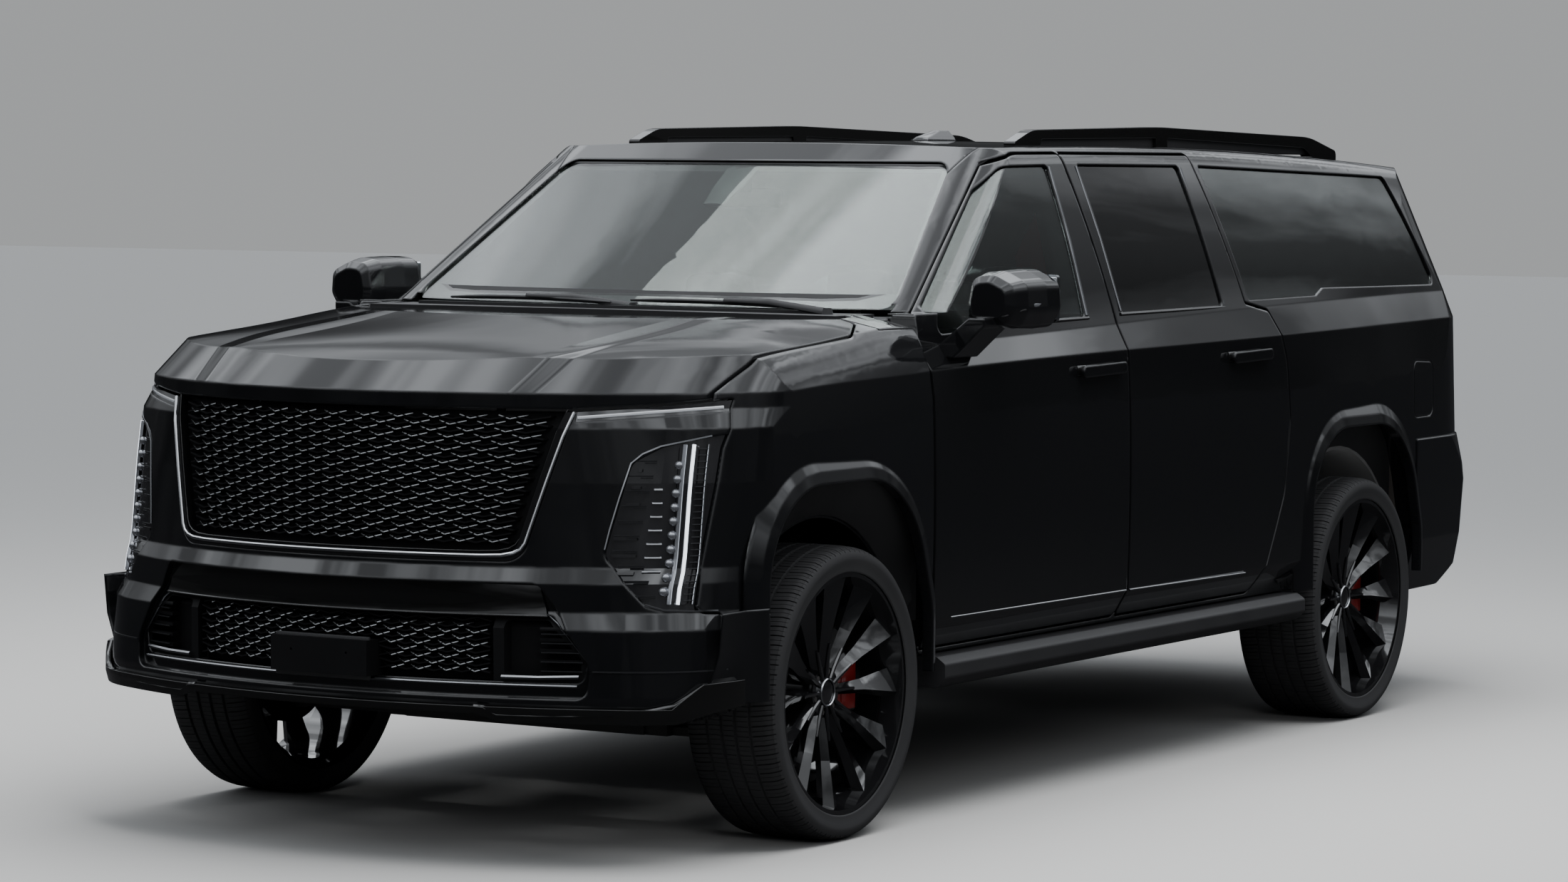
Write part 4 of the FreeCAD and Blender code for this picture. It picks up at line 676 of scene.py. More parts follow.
class SUV_OT_lamps(bpy.types.Operator):
    """Make the headlamps' louvres, fins, projectors, light bars and lenses, and the strip lamps"""
    bl_idname = "suv.lamps"
    bl_label = "Lamps"

    def execute(self, context):
        # Louvres of the dark inboard panel: a long and a short line, one above the other
        louvres = []
        for i in range(10):
            z = 712 + 38.5 * i
            lean = 752 + abs(z - 832) * (0.42 if z < 832 else 0.145)
            far = lean + 58 - 0.02 * (z - 700)
            louvres.append((nose_line(((lean, z), (far, z)), -3), 0.0024, 0.004, AHEAD, 4))
            louvres.append((nose_line(((lean + 26, z - 5), (far, z - 5)), -3), 0.0018, 0.004, AHEAD, 4))
        # Short bright fins beside the projectors
        fins = []
        for i in range(7):
            x, z = 822 + 0.055 * 35.0 * i, 774 + 35.0 * i
            fins.append((nose_line(((x, z), (x + 38 - 3.4 * i, z)), -5), 0.0065, 0.006, (0, -1, 0.2)))
        # Light guide: a lit edge, a clear rib and a ladder of short steps
        bar = [(905 - 0.004 * (1097 - z), z) for z in range(690, 1101, 41)]
        ladder = []
        for i in range(25):
            z = 700 + 16.2 * i
            x = 905 - 0.004 * (1097 - z)
            ladder.append((nose_line(((x + 7, z), (x + 24, z)), -4), 0.0022, 0.006, AHEAD, 4))
        ladder.append((nose_line([(x + 25, z) for x, z in bar], -3), 0.0022, 0.006, AHEAD, 4))
        # Bright lines round the lamp's opening, and the strip lamp along the fascia's top edge
        rim = ((934, 1122), (900, 1112), (842, 1096), (806, 1076), (784, 1052), (764, 960), (748, 880), (740, 830))
        foot = ((842, 690), (880, 676), (930, 672), (968, 672))
        strip = [(656 + 31.0 * i, min(1168 + 2.9 * i, 1198)) for i in range(10)]
        for name, key, paths in (
            ("lamp_louvres", "satin", louvres),
            ("lamp_fins", "bright", fins),
            ("lamp_bar", "lit", [(nose_line(bar, -1), 0.0085, 0.010, AHEAD)]),
            ("lamp_rib", "lens_chrome", [(nose_line([(x - 17, z) for x, z in bar], -2), 0.012, 0.008, AHEAD)]),
            ("lamp_ladder", "bright", ladder),
            ("lamp_rim", "satin", [(nose_line(rim, 1), 0.004, 0.004, AHEAD, 4)]),
            ("lamp_foot", "bright", [(nose_line(foot, 1), 0.004, 0.005, AHEAD, 4)]),
            ("strip_lamp", "pale_lens", [(nose_line(strip, 1), 0.008, 0.005, AHEAD)]),
        ):
            pair(name, key, bars(*paths))
        pair("lamp_projectors", "lens_chrome", self.projectors)
        return {"FINISHED"}

    def projectors(self, bm):
        """Projector lenses in a dark column."""
        for i in range(10):
            z = 722 + 36.0 * i
            place = on_nose(871 + 0.02 * (z - 720), z, -9)
            bmesh.ops.create_uvsphere(bm, u_segments=20, v_segments=12, radius=0.0115, matrix=Matrix.Translation(place))
            seat = Matrix.Translation(place + Vector((0, 0.006, 0))) @ Matrix.Rotation(math.pi / 2, 4, "X")
            bmesh.ops.create_cone(bm, cap_ends=True, segments=20, radius1=0.0135, radius2=0.0125, depth=0.009,
                                  matrix=seat)


class SUV_OT_nose_trim(bpy.types.Operator):
    """Make the lower grille's pods, the bright lower lines, the bumper's corners and middle and the plate carrier"""
    bl_idname = "suv.nose_trim"
    bl_label = "Nose trim"

    def execute(self, context):
        edge = ((500, 664), (612, 660), (640, 640), (714, 548))
        foot = ((506, 498), (600, 498), (700, 502))
        fins = []
        for z in range(516, 613, 24):
            fin = [(x, z) for x in (604, 650, 706 - 0.55 * max(0, z - 548))]
            fins.append((nose_line(fin, -26), 0.003, 0.006, AHEAD, 4))
        line = [(742 + 30 * i, 519.0) for i in range(9)] + [(996, 520)]
        ribbon = ((452, 424), (478, 422), (512, 404), (600, 404), (700, 406), (800, 412), (880, 421), (926, 434),
                  (950, 456), (974, 484))
        for name, key, paths in (
            ("pod_edge", "satin", [(nose_line(edge, -22), 0.005, 0.006, AHEAD)]),
            ("pod_foot", "satin", [(nose_line(foot, -20), 0.010, 0.010, (0, -0.75, 0.66), 6)]),
            ("pod_fins", "satin", fins),
            ("bumper_line", "satin", [(nose_line(line, 1), 0.004, 0.003, AHEAD, 4)]),
            ("lip_edge", "gloss", [(nose_line(ribbon, 19), 0.012, 0.006, (0, -0.75, 0.66), 6)]),
        ):
            pair(name, key, bars(*paths))
        pair("bumper_corner", "paint", self.corner, angle=24.0)
        line = [(x, 478) for x in range(-700, 701, 50)]
        single("lower_bright_line", "satin", bars((nose_line(line, -12), 0.007, 0.007, (0, -0.7, 0.7), 6)))
        single("bumper_middle", "gloss", self.middle)
        single("plate_carrier", "plastic",
               lambda bm: block(bm, (-0.152, at(-1014), 0.474), (0.152, at(-1004), 0.588), 0.004))
        return {"FINISHED"}

    def corner(self, bm):
        """Corner between the bumper's flank and the lip of the wheel opening."""
        rings = []
        for z in (425.0, 470.0, 520.0, 560.0, 610.0, 668.0):
            flank = 1003 - max(0.0, 560 - z) * 0.34 + max(0.0, z - 560) * 0.10
            ring = ((flank + 1, -660), (max(flank + 1, 1001.5), -539), (1027.5, -488), (1035.0, -457), (965, -457),
                    (flank - 45, -600))
            rings.append([(x / 1000.0, at(aft), z / 1000.0) for x, aft in ring])
        lofted(bm, rings)

    def middle(self, bm):
        """Smooth middle of the bumper over the lower grille."""
        made = bmesh.ops.create_grid(bm, x_segments=48, y_segments=4, size=0.5)
        for vert in made["verts"]:
            u, v = vert.co.x + 0.5, vert.co.y + 0.5
            vert.co = on_nose((2 * u - 1) * (618 - 26 * v), 656 + 84 * v, -9 - 15 * v * v)
        swept(bm, nose_line([(x, 657) for x in range(-616, 617, 56)], -17), 0.006, 0.018, AHEAD, 6)


class SUV_OT_arch_liners(bpy.types.Operator):
    """Close each wheel arch from the wheelhouse out to the body's skin, and the engine bay's rear corners"""
    bl_idname = "suv.arch_liners"
    bl_label = "Arch liners"

    def execute(self, context):
        for (centre_y, axle), inner, skin in zip(AXLES, (0.475, 0.495), (0.990, 0.962)):
            rings = []
            for degrees in range(14, 167, 8):
                turn = math.radians(degrees)
                share = min(1.0, (degrees - 14) / 22, (166 - degrees) / 22)
                outer = inner + 0.022 + 0.112 * share * share * (3 - 2 * share)
                ring = ((0.880, inner), (0.904, inner + 0.004), (skin, outer), (skin, outer + 0.008),
                        (0.899, inner + 0.013), (0.880, inner + 0.008))
                rings.append([(x, centre_y + r * math.cos(turn), TYRE_RADIUS + r * math.sin(turn)) for x, r in ring])
            pair("arch_liner_" + axle, "plastic", lambda bm: lofted(bm, rings))
        pair("bay_corner", "plastic", lambda bm: block(bm, (0.765, at(455), 0.560), (0.960, at(463), 1.240), 0.002))
        return {"FINISHED"}


# Door or quarter edge strips of the windows: name, body, low end, high end and width; places in millimetres
WINDOW_EDGES = (
    ("front_rear_edge", "door_front_SIDE_body", (960, 1473, 1384), (803, 1521, 1822), 0.016),
    ("rear_front_edge", "door_rear_SIDE_body", (960, 1694, 1392), (803, 1694, 1824), 0.010),
    ("rear_rear_edge", "door_rear_SIDE_body", (957, 2412, 1396), (800, 2409, 1822), 0.014),
    ("quarter_edge", "root", (955, 2584, 1400), (797, 2529, 1822), 0.010),
)
# What each door carries: moulding, handle from and to and its height, strip at the glass's foot, armrest from and to
DOOR_TRIM = (
    ("front", ((560, 563), (1100, 560), (1648, 557)), (1322, 1596, 1226), ((969, 700, 1370), (966, 1480, 1377)),
     (800, 1500)),
    ("rear", ((1672, 557), (2100, 553), (2480, 550)), (2348, 2622, 1234), ((966, 1690, 1383), (963, 2415, 1388)),
     (1800, 2330)),
)
MOULDING_X = 1.014


def placed(point):
    """Place in metres from x, aft and z in millimetres."""
    x, aft, z = point
    return Vector((x / 1000.0, at(aft), z / 1000.0))


class SUV_OT_side_trim(bpy.types.Operator):
    """Make the door mouldings, window strips, handles with a painted highlight along their tops, door linings' armrests
    and the roof rails' skirts
    """
    bl_idname = "suv.side_trim"
    bl_label = "Side trim"

    def execute(self, context):
        for name, body, low, high, width in WINDOW_EDGES:
            a, b = (placed(p) + Vector((0.004, 0, 0)) for p in (low, high))
            strip = [a, a.lerp(b, 0.5) + Vector((0.006, 0, 0)), b]
            pair("window_" + name, "satin", bars((strip, width, 0.006, (1, 0, 0.35))), body)
        for name, moulding, (y0, y1, z0), foot, (rest0, rest1) in DOOR_TRIM:
            body = "door_%s_SIDE_body" % name
            run = [(MOULDING_X, at(aft), z / 1000.0) for aft, z in moulding]
            grip = [Vector((1.0105 + 0.016 * math.sin(math.pi * i / 8) ** 0.5, at(y0 + (y1 - y0) * i / 8),
                            (z0 + 3 * i / 8) / 1000.0)) for i in range(9)]
            # Painted highlight: a brighter satin line along the top of the gloss black handle stands in for the
            # highlight on its upper edge
            edge = [p + Vector((0.003, 0, 0.0135)) for p in grip[1:-1]]
            middle, centre_z = at((y0 + y1) / 2), (z0 - 4) / 1000.0
            cup = [(1.0060, middle + 0.062 * math.cos(math.pi * i / 12), centre_z - 0.034 * math.sin(math.pi * i / 12))
                   for i in range(13)]
            a, b = placed(foot[0]), placed(foot[1])
            belt = [a, a.lerp(b, 0.5) + Vector((0.002, 0, 0)), b]
            rest = [(0.930, at(rest0), 0.985), (0.922, at(rest0 + 120), 0.975), (0.918, at(rest1 - 120), 0.975),
                    (0.930, at(rest1), 0.990)]
            pull = [(x, at(rest0 + aft), 1.130) for x, aft in ((0.940, 60), (0.930, 85), (0.930, 160), (0.940, 185))]

            def card(bm):
                swept(bm, rest, 0.058, 0.066, OUTWARD, 12, (0.7, 1.0, 1.0, 0.7))
                block(bm, (0.918, at(rest0 - 40), 0.600), (0.955, at(rest1 - 140), 0.720), 0.014, 3)
            for part, key, build in (
                ("moulding", "bright", bars((run, 0.006, 0.008, OUTWARD))),
                ("handle", "gloss", bars((grip, 0.030, 0.010, (1, 0, 0.1), 12))),
                ("handle_edge", "satin", bars((edge, 0.003, 0.004, (1, 0, 0.4), 6))),
                ("handle_cup", "gloss", bars((cup, 0.004, 0.004, OUTWARD, 6))),
                ("belt_strip", "gloss", bars((belt, 0.010, 0.006, (1, 0, 0.6), 6))),
                ("door_card", "dash", card),
                ("inner_handle", "satin", bars((pull, 0.016, 0.008, OUTWARD))),
            ):
                pair("%s_%s" % (part, name), key, build, body)
        # Black skirt that closes the roof rail down to the roof
        pair("rail_skirt", "plastic", lambda bm: block(bm, (0.656, at(1670), 1.866), (0.674, at(3680), 1.918), 0.003))
        return {"FINISHED"}


def on_screen(x, z, proud=0.0):
    """Point on the windscreen's skin; proud stands it off along its normal."""
    return on_rows(SCREEN_ROWS, -1, x, z, proud * 1.93)


SCREEN_FACE = (0, -1, 0.6)


class SUV_OT_screen_trim(bpy.types.Operator):
    """Make the windscreen's black border, its sensor cover and the two wipers"""
    bl_idname = "suv.screen_trim"
    bl_label = "Windscreen trim"

    def execute(self, context):
        side = ((800, 1440), (778, 1500), (738, 1610), (700, 1715), (664, 1812))
        border = [([on_screen(sign * x, z, -14) for x, z in side], 0.034, 0.0015, SCREEN_FACE, 4) for sign, _ in SIDES]
        for z, reach, width in ((1812, 660, 0.034), (1437, 796, 0.050)):
            border.append(([on_screen(reach * i / 8.0, z, -14) for i in range(-8, 9)], width, 0.0015, SCREEN_FACE, 4))
        single("screen_border", "plastic", bars(*border))
        low, high = on_screen(0, 1700, -20), on_screen(0, 1806, -20)
        cover = [low, low.lerp(high, 0.5), high]
        single("screen_sensor_cover", "plastic", bars((cover, 0.110, 0.016, SCREEN_FACE, 8, (0.6, 0.9, 1.0))))
        for name, pivot, x0, x1, z0, z1 in (
            ("wiper_left", (700, 402), 650, 30, 1418, 1432),
            ("wiper_right", (30, 446), -30, -640, 1424, 1426),
        ):
            blade = [on_screen(x0 + (x1 - x0) * i / 8.0, z0 + (z1 - z0) * i / 8.0 + 6 * math.sin(math.pi * i / 8.0), 8)
                     for i in range(9)]
            start = placed((*pivot, 1414))
            middle = blade[4] + Vector((0, -0.014, 0.008))
            arm = [start, start.lerp(middle, 0.55) + Vector((0, -0.006, 0.010)), middle]

            def wiper(bm):
                swept(bm, blade, 0.011, 0.016, SCREEN_FACE, 8, (0.5, 0.9, 1, 1, 1, 1, 1, 0.9, 0.5))
                swept(bm, arm, 0.017, 0.009, SCREEN_FACE, 8, (1.2, 1.0, 0.6))
                bmesh.ops.create_cone(bm, cap_ends=True, segments=20, radius1=0.017, radius2=0.012, depth=0.022,
                                      matrix=Matrix.Translation(start))
            single(name, "plastic", wiper)
        return {"FINISHED"}


class SUV_OT_mirror_trim(bpy.types.Operator):
    """Make the mirrors' seams, turn signals and glasses"""
    bl_idname = "suv.mirror_trim"
    bl_label = "Mirror trim"

    def execute(self, context):
        body = "door_front_SIDE_body"
        seam = [placed(p) for p in ((1020, 604, 1402), (1080, 602, 1398), (1150, 612, 1408), (1182, 660, 1424),
                                    (1187, 760, 1432))]
        signal = [placed(p) for p in ((1150, 622, 1420), (1175, 655, 1430), (1185, 720, 1436), (1185.5, 800, 1438))]
        pair("mirror_seam", "plastic", bars((seam, 0.003, 0.003, (0.4, -1, 0), 4)), body)
        pair("mirror_signal", "lens_chrome", bars((signal, 0.016, 0.008, (1, -0.4, 0))), body)
        pair("mirror_glass", "mirror",
             lambda bm: block(bm, (1.030, at(879), 1.385), (1.176, at(884.5), 1.518), 0.010, 3), body)
        return {"FINISHED"}


def swollen(name, size, bevel, pressure, cap, grooves=()):
    """Padded leather form: a rounded block, remeshed, blown up as cloth and given sewn channels."""
    bm = bmesh.new()
    width, length, height = size
    block(bm, (-width / 2, -length / 2, -height / 2), (width / 2, length / 2, height / 2), bevel, 3)
    mesh = bpy.data.meshes.new(name)
    bm.to_mesh(mesh)
    bm.free()
    obj = bpy.data.objects.new(name, mesh)
    scene = bpy.context.scene
    scene.collection.objects.link(obj)
    remesh = obj.modifiers.new("even_faces", "REMESH")
    remesh.mode = "VOXEL"
    remesh.voxel_size = 0.010
    bpy.context.view_layer.update()
    even = bpy.data.meshes.new_from_object(obj.evaluated_get(bpy.context.evaluated_depsgraph_get()))
    obj.modifiers.clear()
    obj.data = even
    rest = [v.co.copy() for v in even.vertices]
    cloth = obj.modifiers.new("filling", "CLOTH")
    cloth.settings.use_pressure = True
    cloth.settings.uniform_pressure_force = pressure
    cloth.settings.effector_weights.gravity = 0.0
    cloth.settings.quality = 5
    cloth.settings.mass = 0.3
    cloth.point_cache.frame_start = 1
    cloth.point_cache.frame_end = 20
    for number in range(1, 21):
        scene.frame_set(number)
    blown = bpy.data.meshes.new_from_object(obj.evaluated_get(bpy.context.evaluated_depsgraph_get()))
    obj.modifiers.clear()
    obj.data = blown
    scene.frame_set(1)
    mesh = obj.data
    for vert, start in zip(mesh.vertices, rest):
        move = vert.co - start
        if move.length > cap:
            vert.co = start + move * (cap / move.length)
    mesh.update()
    # Sewn channels sink where the seams run across the top and the front
    for vert in mesh.vertices:
        sink = 0.0
        for axis, place, depth in grooves:
            away = abs(vert.co[axis] - place)
            sink = max(sink, depth * math.exp(-(away / 0.007) ** 2))
        if sink:
            vert.co -= vert.normal * sink
    for polygon in mesh.polygons:
        polygon.use_smooth = True
    bpy.data.objects.remove(obj)
    return mesh


SEAT_ROWS = ((1500, 0.500, (-0.395, 0.395)), (2380, 0.500, (-0.395, 0.395)), (3240, 0.560, (-0.295, 0.295)))


class SUV_OT_seats(bpy.types.Operator):
    """Make the padded leather seats of all three rows"""
    bl_idname = "suv.seats"
    bl_label = "Seats"

    def execute(self, context):
        forms = {}
        for width in (0.500, 0.560):
            w = width - 0.02
            forms[width] = (
                swollen("cushion_form_%d" % (width * 1000), (w - 0.02, 0.40, 0.105), 0.030, 4.0, 0.014,
                        ((0, -0.14, 0.006), (0, 0.14, 0.006), (1, -0.02, 0.005))),
                swollen("back_form_%d" % (width * 1000), (w - 0.03, 0.105, 0.52), 0.030, 4.0, 0.014,
                        ((0, -0.14, 0.006), (0, 0.14, 0.006), (2, 0.06, 0.005))),
            )
        head = swollen("headrest_form", (0.23, 0.075, 0.155), 0.026, 4.0, 0.010)
        for row, (aft, width, centres) in enumerate(SEAT_ROWS):
            for x in centres:
                tag = "%d_%s" % (row + 1, "left" if x > 0 else "right")
                lean = Matrix.Rotation(math.radians(-13.5), 4, "X")
                cushion, back = forms[width]
                for name, form, matrix, fill in (
                    ("seat_cushion_", cushion, Matrix.Translation((x, at(aft - 262), 0.815)) @ Matrix.Rotation(
                        math.radians(-2), 4, "X"), 0.75),
                    ("seat_back_", back, Matrix.Translation((x, at(aft + 14), 1.085)) @ lean, 0.75),
                    ("headrest_", head, Matrix.Translation((x, at(aft + 104), 1.395)) @ Matrix.Rotation(
                        math.radians(-6), 4, "X"), 0.8),
                ):
                    mesh = form.copy()
                    mesh.transform(matrix)
                    mesh.name = name + tag
                    mesh.materials.clear()
                    mesh.materials.append(MATERIALS["leather"])
                    obj = bpy.data.objects.new(name + tag, mesh)
                    context.scene.collection.objects.link(obj)
                    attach(obj, "root")
                    if name == "seat_cushion_" and tag == "1_left":
                        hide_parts("seats")
                bm = bmesh.new()
                half = width / 2 - 0.02
                block(bm, (x - half, at(aft - 430), 0.620), (x + half, at(aft + 30), 0.758), 0.022, 3)
                block(bm, (x - half + 0.03, at(aft - 60), 0.745), (x + half - 0.03, at(aft + 60), 0.800), 0.010)
                for post in (-0.055, 0.055):
                    bmesh.ops.create_cone(bm, cap_ends=True, segments=16, radius1=0.006, radius2=0.006, depth=0.12,
                                          matrix=Matrix.Translation((x + post, at(aft + 92), 1.330)) @ Matrix.Rotation(
                                              math.radians(-6), 4, "X"))
                piece("seat_base_" + tag, bm, "root", "dash")
        return {"FINISHED"}


class SUV_OT_cabin(bpy.types.Operator):
    """Make the wide display and the inner mirror"""
    bl_idname = "suv.cabin"
    bl_label = "Cabin"

    def execute(self, context):
        line = [(x, at(742 - 55 * (1 - (x / 0.62) ** 2)), 1.372) for x in (-0.30, -0.1, 0.1, 0.3, 0.5, 0.62)]
        single("wide_display", "gloss", bars((line, 0.022, 0.150, (0, -0.25, 1), 4)))

        def mirror(bm):
            block(bm, (-0.115, at(1120), 1.690), (0.115, at(1140), 1.748), 0.016, 3)
            block(bm, (-0.012, at(1112), 1.735), (0.012, at(1130), 1.800), 0.004)
        single("inner_mirror", "plastic", mirror)
        return {"FINISHED"}


# Edges of the tail lamp, x and z in millimetres
LAMP_OUTER = ((856, 925), (846, 1060), (828, 1220), (806, 1380), (784, 1520), (768, 1660), (762, 1720))
LAMP_INNER = ((812, 925), (800, 1060), (782, 1220), (760, 1380), (740, 1520), (730, 1660), (727, 1720))


class SUV_OT_tail_trim(bpy.types.Operator):
    """Make the tail lamps' light guides, the bumper's reflectors, the tailgate's bar, the blank plate and the wiper"""
    bl_idname = "suv.tail_trim"
    bl_label = "Tail trim"

    def execute(self, context):
        pair("tail_guides", "red_glow", bars(*((tail_line(line, 1), 0.006, 0.006, BEHIND)
                                               for line in (LAMP_OUTER, LAMP_INNER))))
        ribs = []
        for i in range(24):
            z = 950 + 32 * i
            share = (z - 925) / (1796.0 - 925.0)
            ends = ((817 - 88 * share, z), (851 - 100 * share, z + 4))
            ribs.append((tail_line(ends, -1), 0.003, 0.004, BEHIND, 4))
        pair("tail_ribs", "red_lamp", bars(*ribs))
        line = [(x, at(4728 - x ** 2 * 210), 0.700) for x in (0.640, 0.720, 0.800, 0.860)]
        pair("bumper_reflector", "red_lamp", bars((line, 0.030, 0.010, BEHIND)))
        tailgate = "tailgate_body"
        bar = [(x, 1296) for x in range(-480, 481, 60)]
        single("tailgate_bar", "gloss", bars((tail_line(bar, 2), 0.034, 0.012, BEHIND, 12)), tailgate)
        single("rear_plate_carrier", "plastic",
               lambda bm: block(bm, (-0.165, at(4688), 1.060), (0.165, at(4704), 1.232), 0.006), tailgate)
        single("rear_plate_blank", "pale_lens",
               lambda bm: block(bm, (-0.152, at(4702), 1.070), (0.152, at(4705.5), 1.222), 0.0015), tailgate)
        arm = [on_tail(0, 1436, 10), on_tail(-150, 1470, 16), on_tail(-300, 1492, 14)]
        blade = [on_tail(-110, 1480, 6), on_tail(-300, 1496, 7), on_tail(-480, 1512, 6)]
        single("rear_wiper", "plastic", bars((arm, 0.016, 0.010, BEHIND, 8, (1.0, 0.8, 0.6)),
                                             (blade, 0.010, 0.010, BEHIND)), tailgate)
        return {"FINISHED"}


def area_light(name, place, aim, size, power):
    """Soft rectangular light that faces a point and isn't mirrored in the gloss."""
    data = bpy.data.lights.new(name, "AREA")
    data.shape = "RECTANGLE"
    data.size, data.size_y = size
    data.energy = power
    light = bpy.data.objects.new(name, data)
    light.location = place
    light.rotation_euler = (Vector(aim) - Vector(place)).to_track_quat("-Z", "Y").to_euler()
    light.visible_glossy = False
    bpy.context.scene.collection.objects.link(light)


FLOOR_HALF = 60.0
# Lights: place, aim, size in metres; the fill's power in watts
OVERHEAD = ((0.6, -0.4, 6.0), (0, 0, 0), (5.0, 8.5))
FRONT_FILL = ((7.5, -9.5, 4.2), (0, -1.0, 0.8), (4.0, 2.4))
FRONT_FILL_POWER = 160.0
# Sky by height: 0 straight down, 0.5 at the horizon, 1 straight up, and how bright it is there
SOFT_SKY = ((0.48, 0.10), (0.60, 0.13), (0.72, 0.32), (0.84, 0.72), (0.95, 1.0))
SOFT_SKY_STRENGTH = 0.85
MIRRORED_SKY = ((0.48, 0.010), (0.545, 0.018), (0.60, 0.10), (0.68, 0.36), (0.80, 0.72), (0.93, 1.0))
# Streaks in the mirrored sky: how far they are drawn out, their noise, and how strong the gaps and streaks are
STREAK_STRETCH = (0.9, 0.5, 1.3)
STREAK_NOISE = (("Scale", 4.0), ("Detail", 5.0), ("Distortion", 1.2))
STREAK_LOW, STREAK_HIGH = 0.30, 1.15
# Camera solved from the picture: place in metres, and its turns in radians
CAMERA_PLACE = (7.3522, -12.8358, 1.8399)
CAMERA_YAW, CAMERA_PITCH, CAMERA_ROLL = -0.537800, -0.0596867, 0.00744917


class SUV_OT_stage(bpy.types.Operator):
    """Make the floor, the lights and the camera"""
    bl_idname = "suv.stage"
    bl_label = "Stage"

    def execute(self, context):
        settings = context.scene.suv_stage
        bm = bmesh.new()
        bmesh.ops.create_grid(bm, x_segments=2, y_segments=2, size=FLOOR_HALF)
        mesh = bpy.data.meshes.new("studio_floor")
        bm.to_mesh(mesh)
        bm.free()
        floor = bpy.data.objects.new("studio_floor", mesh)
        matt = finish("floor_matt", tuple(settings.floor_tone), rough=(0.55, 0.65), grain=40.0, drift=0.4, specular=0.0)
        tree = matt.node_tree
        shader = tree.nodes["Principled BSDF"]
        # Painted reflection: the floor is painted dark, like a road, wherever the gloss black body mirrors it
        painted_reflection_mix = tree.nodes.new("ShaderNodeMix")
        painted_reflection_mix.data_type = "RGBA"
        painted_reflection_mix.inputs["B"].default_value = (*settings.painted_floor_reflection, 1.0)
        tree.links.new(shader.inputs["Base Color"].links[0].from_socket, painted_reflection_mix.inputs["A"])
        tree.links.new(tree.nodes.new("ShaderNodeLightPath").outputs["Is Glossy Ray"], painted_reflection_mix.inputs["Factor"])
        tree.links.new(painted_reflection_mix.outputs["Result"], shader.inputs["Base Color"])
        mesh.materials.append(matt)
        context.scene.collection.objects.link(floor)
        area_light("overhead", *OVERHEAD, settings.overhead)
        area_light("front_fill", *FRONT_FILL, FRONT_FILL_POWER)
        world = bpy.data.worlds.new("studio_world")
        context.scene.world = world
        world.use_nodes = True
        tree = world.node_tree
        coords = tree.nodes.new("ShaderNodeTexCoord")
        parts = tree.nodes.new("ShaderNodeSeparateXYZ")
        lift = tree.nodes.new("ShaderNodeMath")
        lift.operation = "MULTIPLY_ADD"
        lift.inputs[1].default_value = 0.5
        lift.inputs[2].default_value = 0.5
        tree.links.new(coords.outputs["Generated"], parts.inputs[0])
        tree.links.new(parts.outputs["Z"], lift.inputs[0])
        soft = self.sky(tree, lift, SOFT_SKY, SOFT_SKY_STRENGTH)
        mirrored = self.sky(tree, lift, MIRRORED_SKY, settings.mirrored_sky)
        # The gloss mirrors a broken sky with soft long streaks
        stretch = tree.nodes.new("ShaderNodeMapping")
        stretch.inputs["Scale"].default_value = STREAK_STRETCH
        streaks = tree.nodes.new("ShaderNodeTexNoise")
        for label, value in STREAK_NOISE:
            streaks.inputs[label].default_value = value
        spread = tree.nodes.new("ShaderNodeMapRange")
        for label, value in (("From Min", 0.40), ("From Max", 0.60), ("To Min", STREAK_LOW * settings.mirrored_sky),
                             ("To Max", STREAK_HIGH * settings.mirrored_sky)):
            spread.inputs[label].default_value = value
        tree.links.new(coords.outputs["Generated"], stretch.inputs["Vector"])
        tree.links.new(stretch.outputs["Vector"], streaks.inputs["Vector"])
        tree.links.new(streaks.outputs["Fac"], spread.inputs["Value"])
        tree.links.new(spread.outputs["Result"], mirrored.inputs["Strength"])
        plain = tree.nodes["Background"]
        plain.inputs["Color"].default_value = (*settings.backdrop, 1.0)
        rays = tree.nodes.new("ShaderNodeLightPath")
        for factor, first, second in (("Is Diffuse Ray", mirrored, soft), ("Is Camera Ray", None, plain)):
            mix = tree.nodes.new("ShaderNodeMixShader")
            tree.links.new(rays.outputs[factor], mix.inputs[0])
            tree.links.new((first or last).outputs[0], mix.inputs[1])
            tree.links.new(second.outputs[0], mix.inputs[2])
            last = mix
        tree.links.new(last.outputs[0], tree.nodes["World Output"].inputs["Surface"])
        data = bpy.data.cameras.new("photo_camera")
        data.sensor_width = 36.0
        data.lens = settings.lens
        data.clip_end = 200.0
        camera = bpy.data.objects.new("photo_camera", data)
        yaw, pitch, roll = CAMERA_YAW, CAMERA_PITCH, CAMERA_ROLL
        ahead = Vector((math.sin(yaw) * math.cos(pitch), math.cos(yaw) * math.cos(pitch), math.sin(pitch)))
        right = ahead.cross(Vector((0, 0, 1))).normalized()
        up = right.cross(ahead)
        right, up = right * math.cos(roll) + up * math.sin(roll), up * math.cos(roll) - right * math.sin(roll)
        turn = Matrix((right, up, -ahead)).transposed().to_4x4()
        camera.matrix_world = Matrix.Translation(CAMERA_PLACE) @ turn
        context.scene.collection.objects.link(camera)
        context.scene.camera = camera
        return {"FINISHED"}

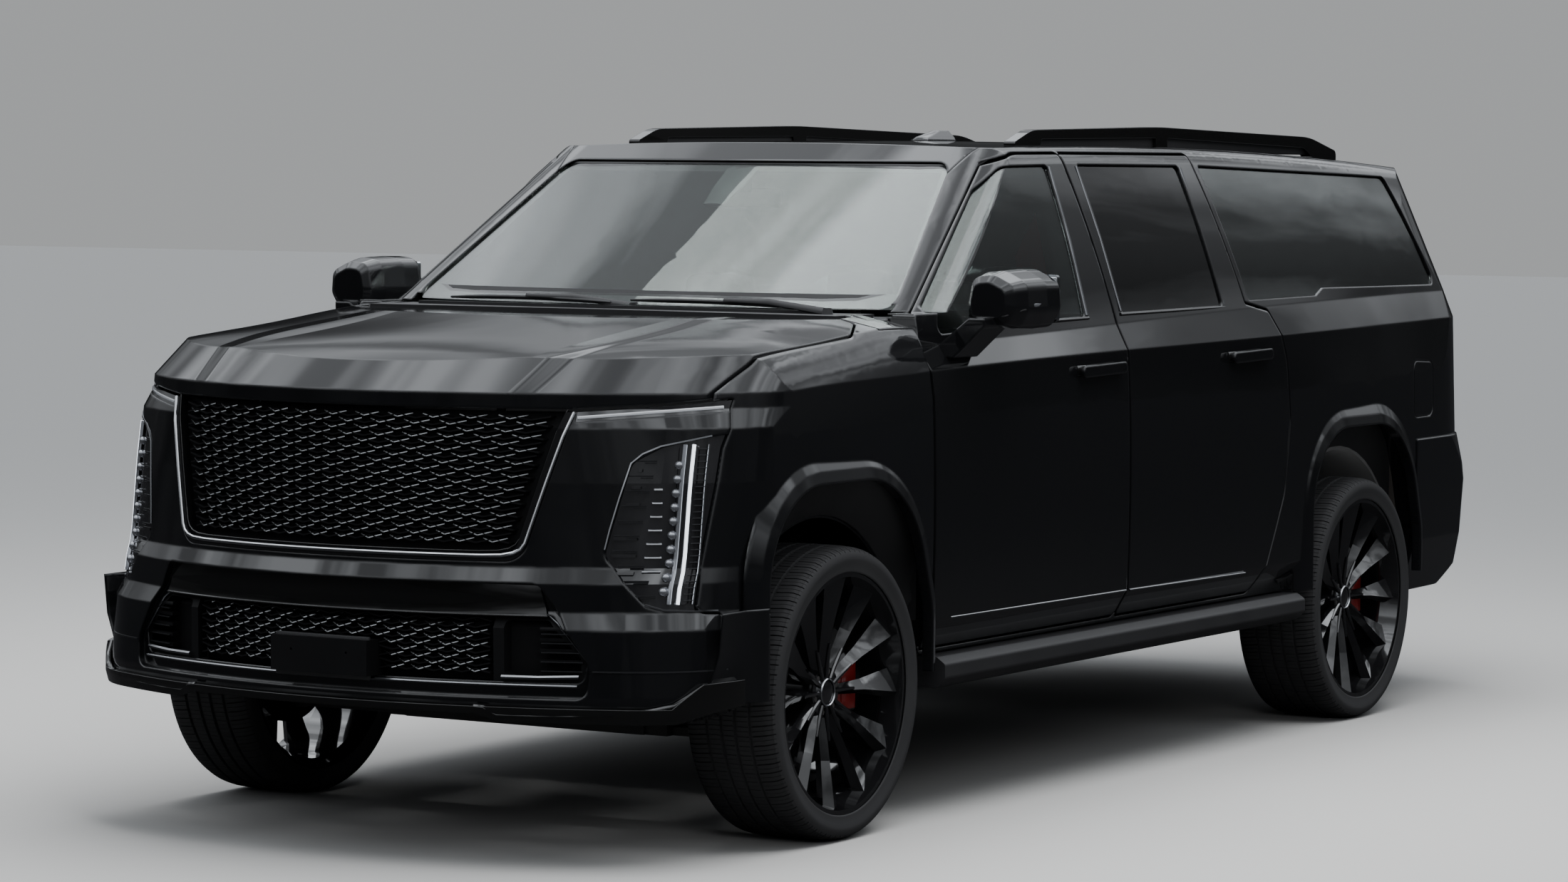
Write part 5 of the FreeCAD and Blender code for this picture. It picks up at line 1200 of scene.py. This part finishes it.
    def sky(self, tree, height, stops, strength):
        """Background whose tone rises with height above the horizon."""
        ramp = tree.nodes.new("ShaderNodeValToRGB")
        while len(ramp.color_ramp.elements) < len(stops):
            ramp.color_ramp.elements.new(0.5)
        for stop, (place, tone) in zip(ramp.color_ramp.elements, stops):
            stop.position = place
            stop.color = (tone * 0.95, tone * 0.99, tone * 1.04, 1)
        tree.links.new(height.outputs[0], ramp.inputs["Fac"])
        shade = tree.nodes.new("ShaderNodeBackground")
        shade.inputs["Strength"].default_value = strength
        tree.links.new(ramp.outputs["Color"], shade.inputs["Color"])
        return shade


class SUV_PT_panel(bpy.types.Panel):
    """Sidebar list of the suv's pieces"""
    bl_idname = "SUV_PT_panel"
    bl_label = "Suv"
    bl_space_type = "VIEW_3D"
    bl_region_type = "UI"
    bl_category = "Suv"

    def draw(self, context):
        column = self.layout.column()
        for operator in OPERATORS:
            column.operator(operator.bl_idname)
        for group in (context.scene.suv_body, context.scene.suv_front, context.scene.suv_stage):
            for name in group.__annotations__:
                column.prop(group, name)


OPERATORS = (
    SUV_OT_finishes, SUV_OT_tyres, SUV_OT_wheel_trim, SUV_OT_grille, SUV_OT_lamps, SUV_OT_nose_trim,
    SUV_OT_arch_liners, SUV_OT_side_trim, SUV_OT_screen_trim, SUV_OT_mirror_trim, SUV_OT_seats, SUV_OT_cabin,
    SUV_OT_tail_trim, SUV_OT_stage,
)
CLASSES = (BodySettings, FrontSettings, StageSettings) + OPERATORS + (SUV_PT_panel,)


def register():
    for cls in CLASSES:
        bpy.utils.register_class(cls)
    bpy.types.Scene.suv_body = PointerProperty(type=BodySettings)
    bpy.types.Scene.suv_front = PointerProperty(type=FrontSettings)
    bpy.types.Scene.suv_stage = PointerProperty(type=StageSettings)


def unregister():
    del bpy.types.Scene.suv_body
    del bpy.types.Scene.suv_front
    del bpy.types.Scene.suv_stage
    for cls in reversed(CLASSES):
        bpy.utils.unregister_class(cls)


def main():
    register()
    for operator in OPERATORS:
        group, name = operator.bl_idname.split(".")
        getattr(getattr(bpy.ops, group), name)()


if __name__ == "__main__":
    main()
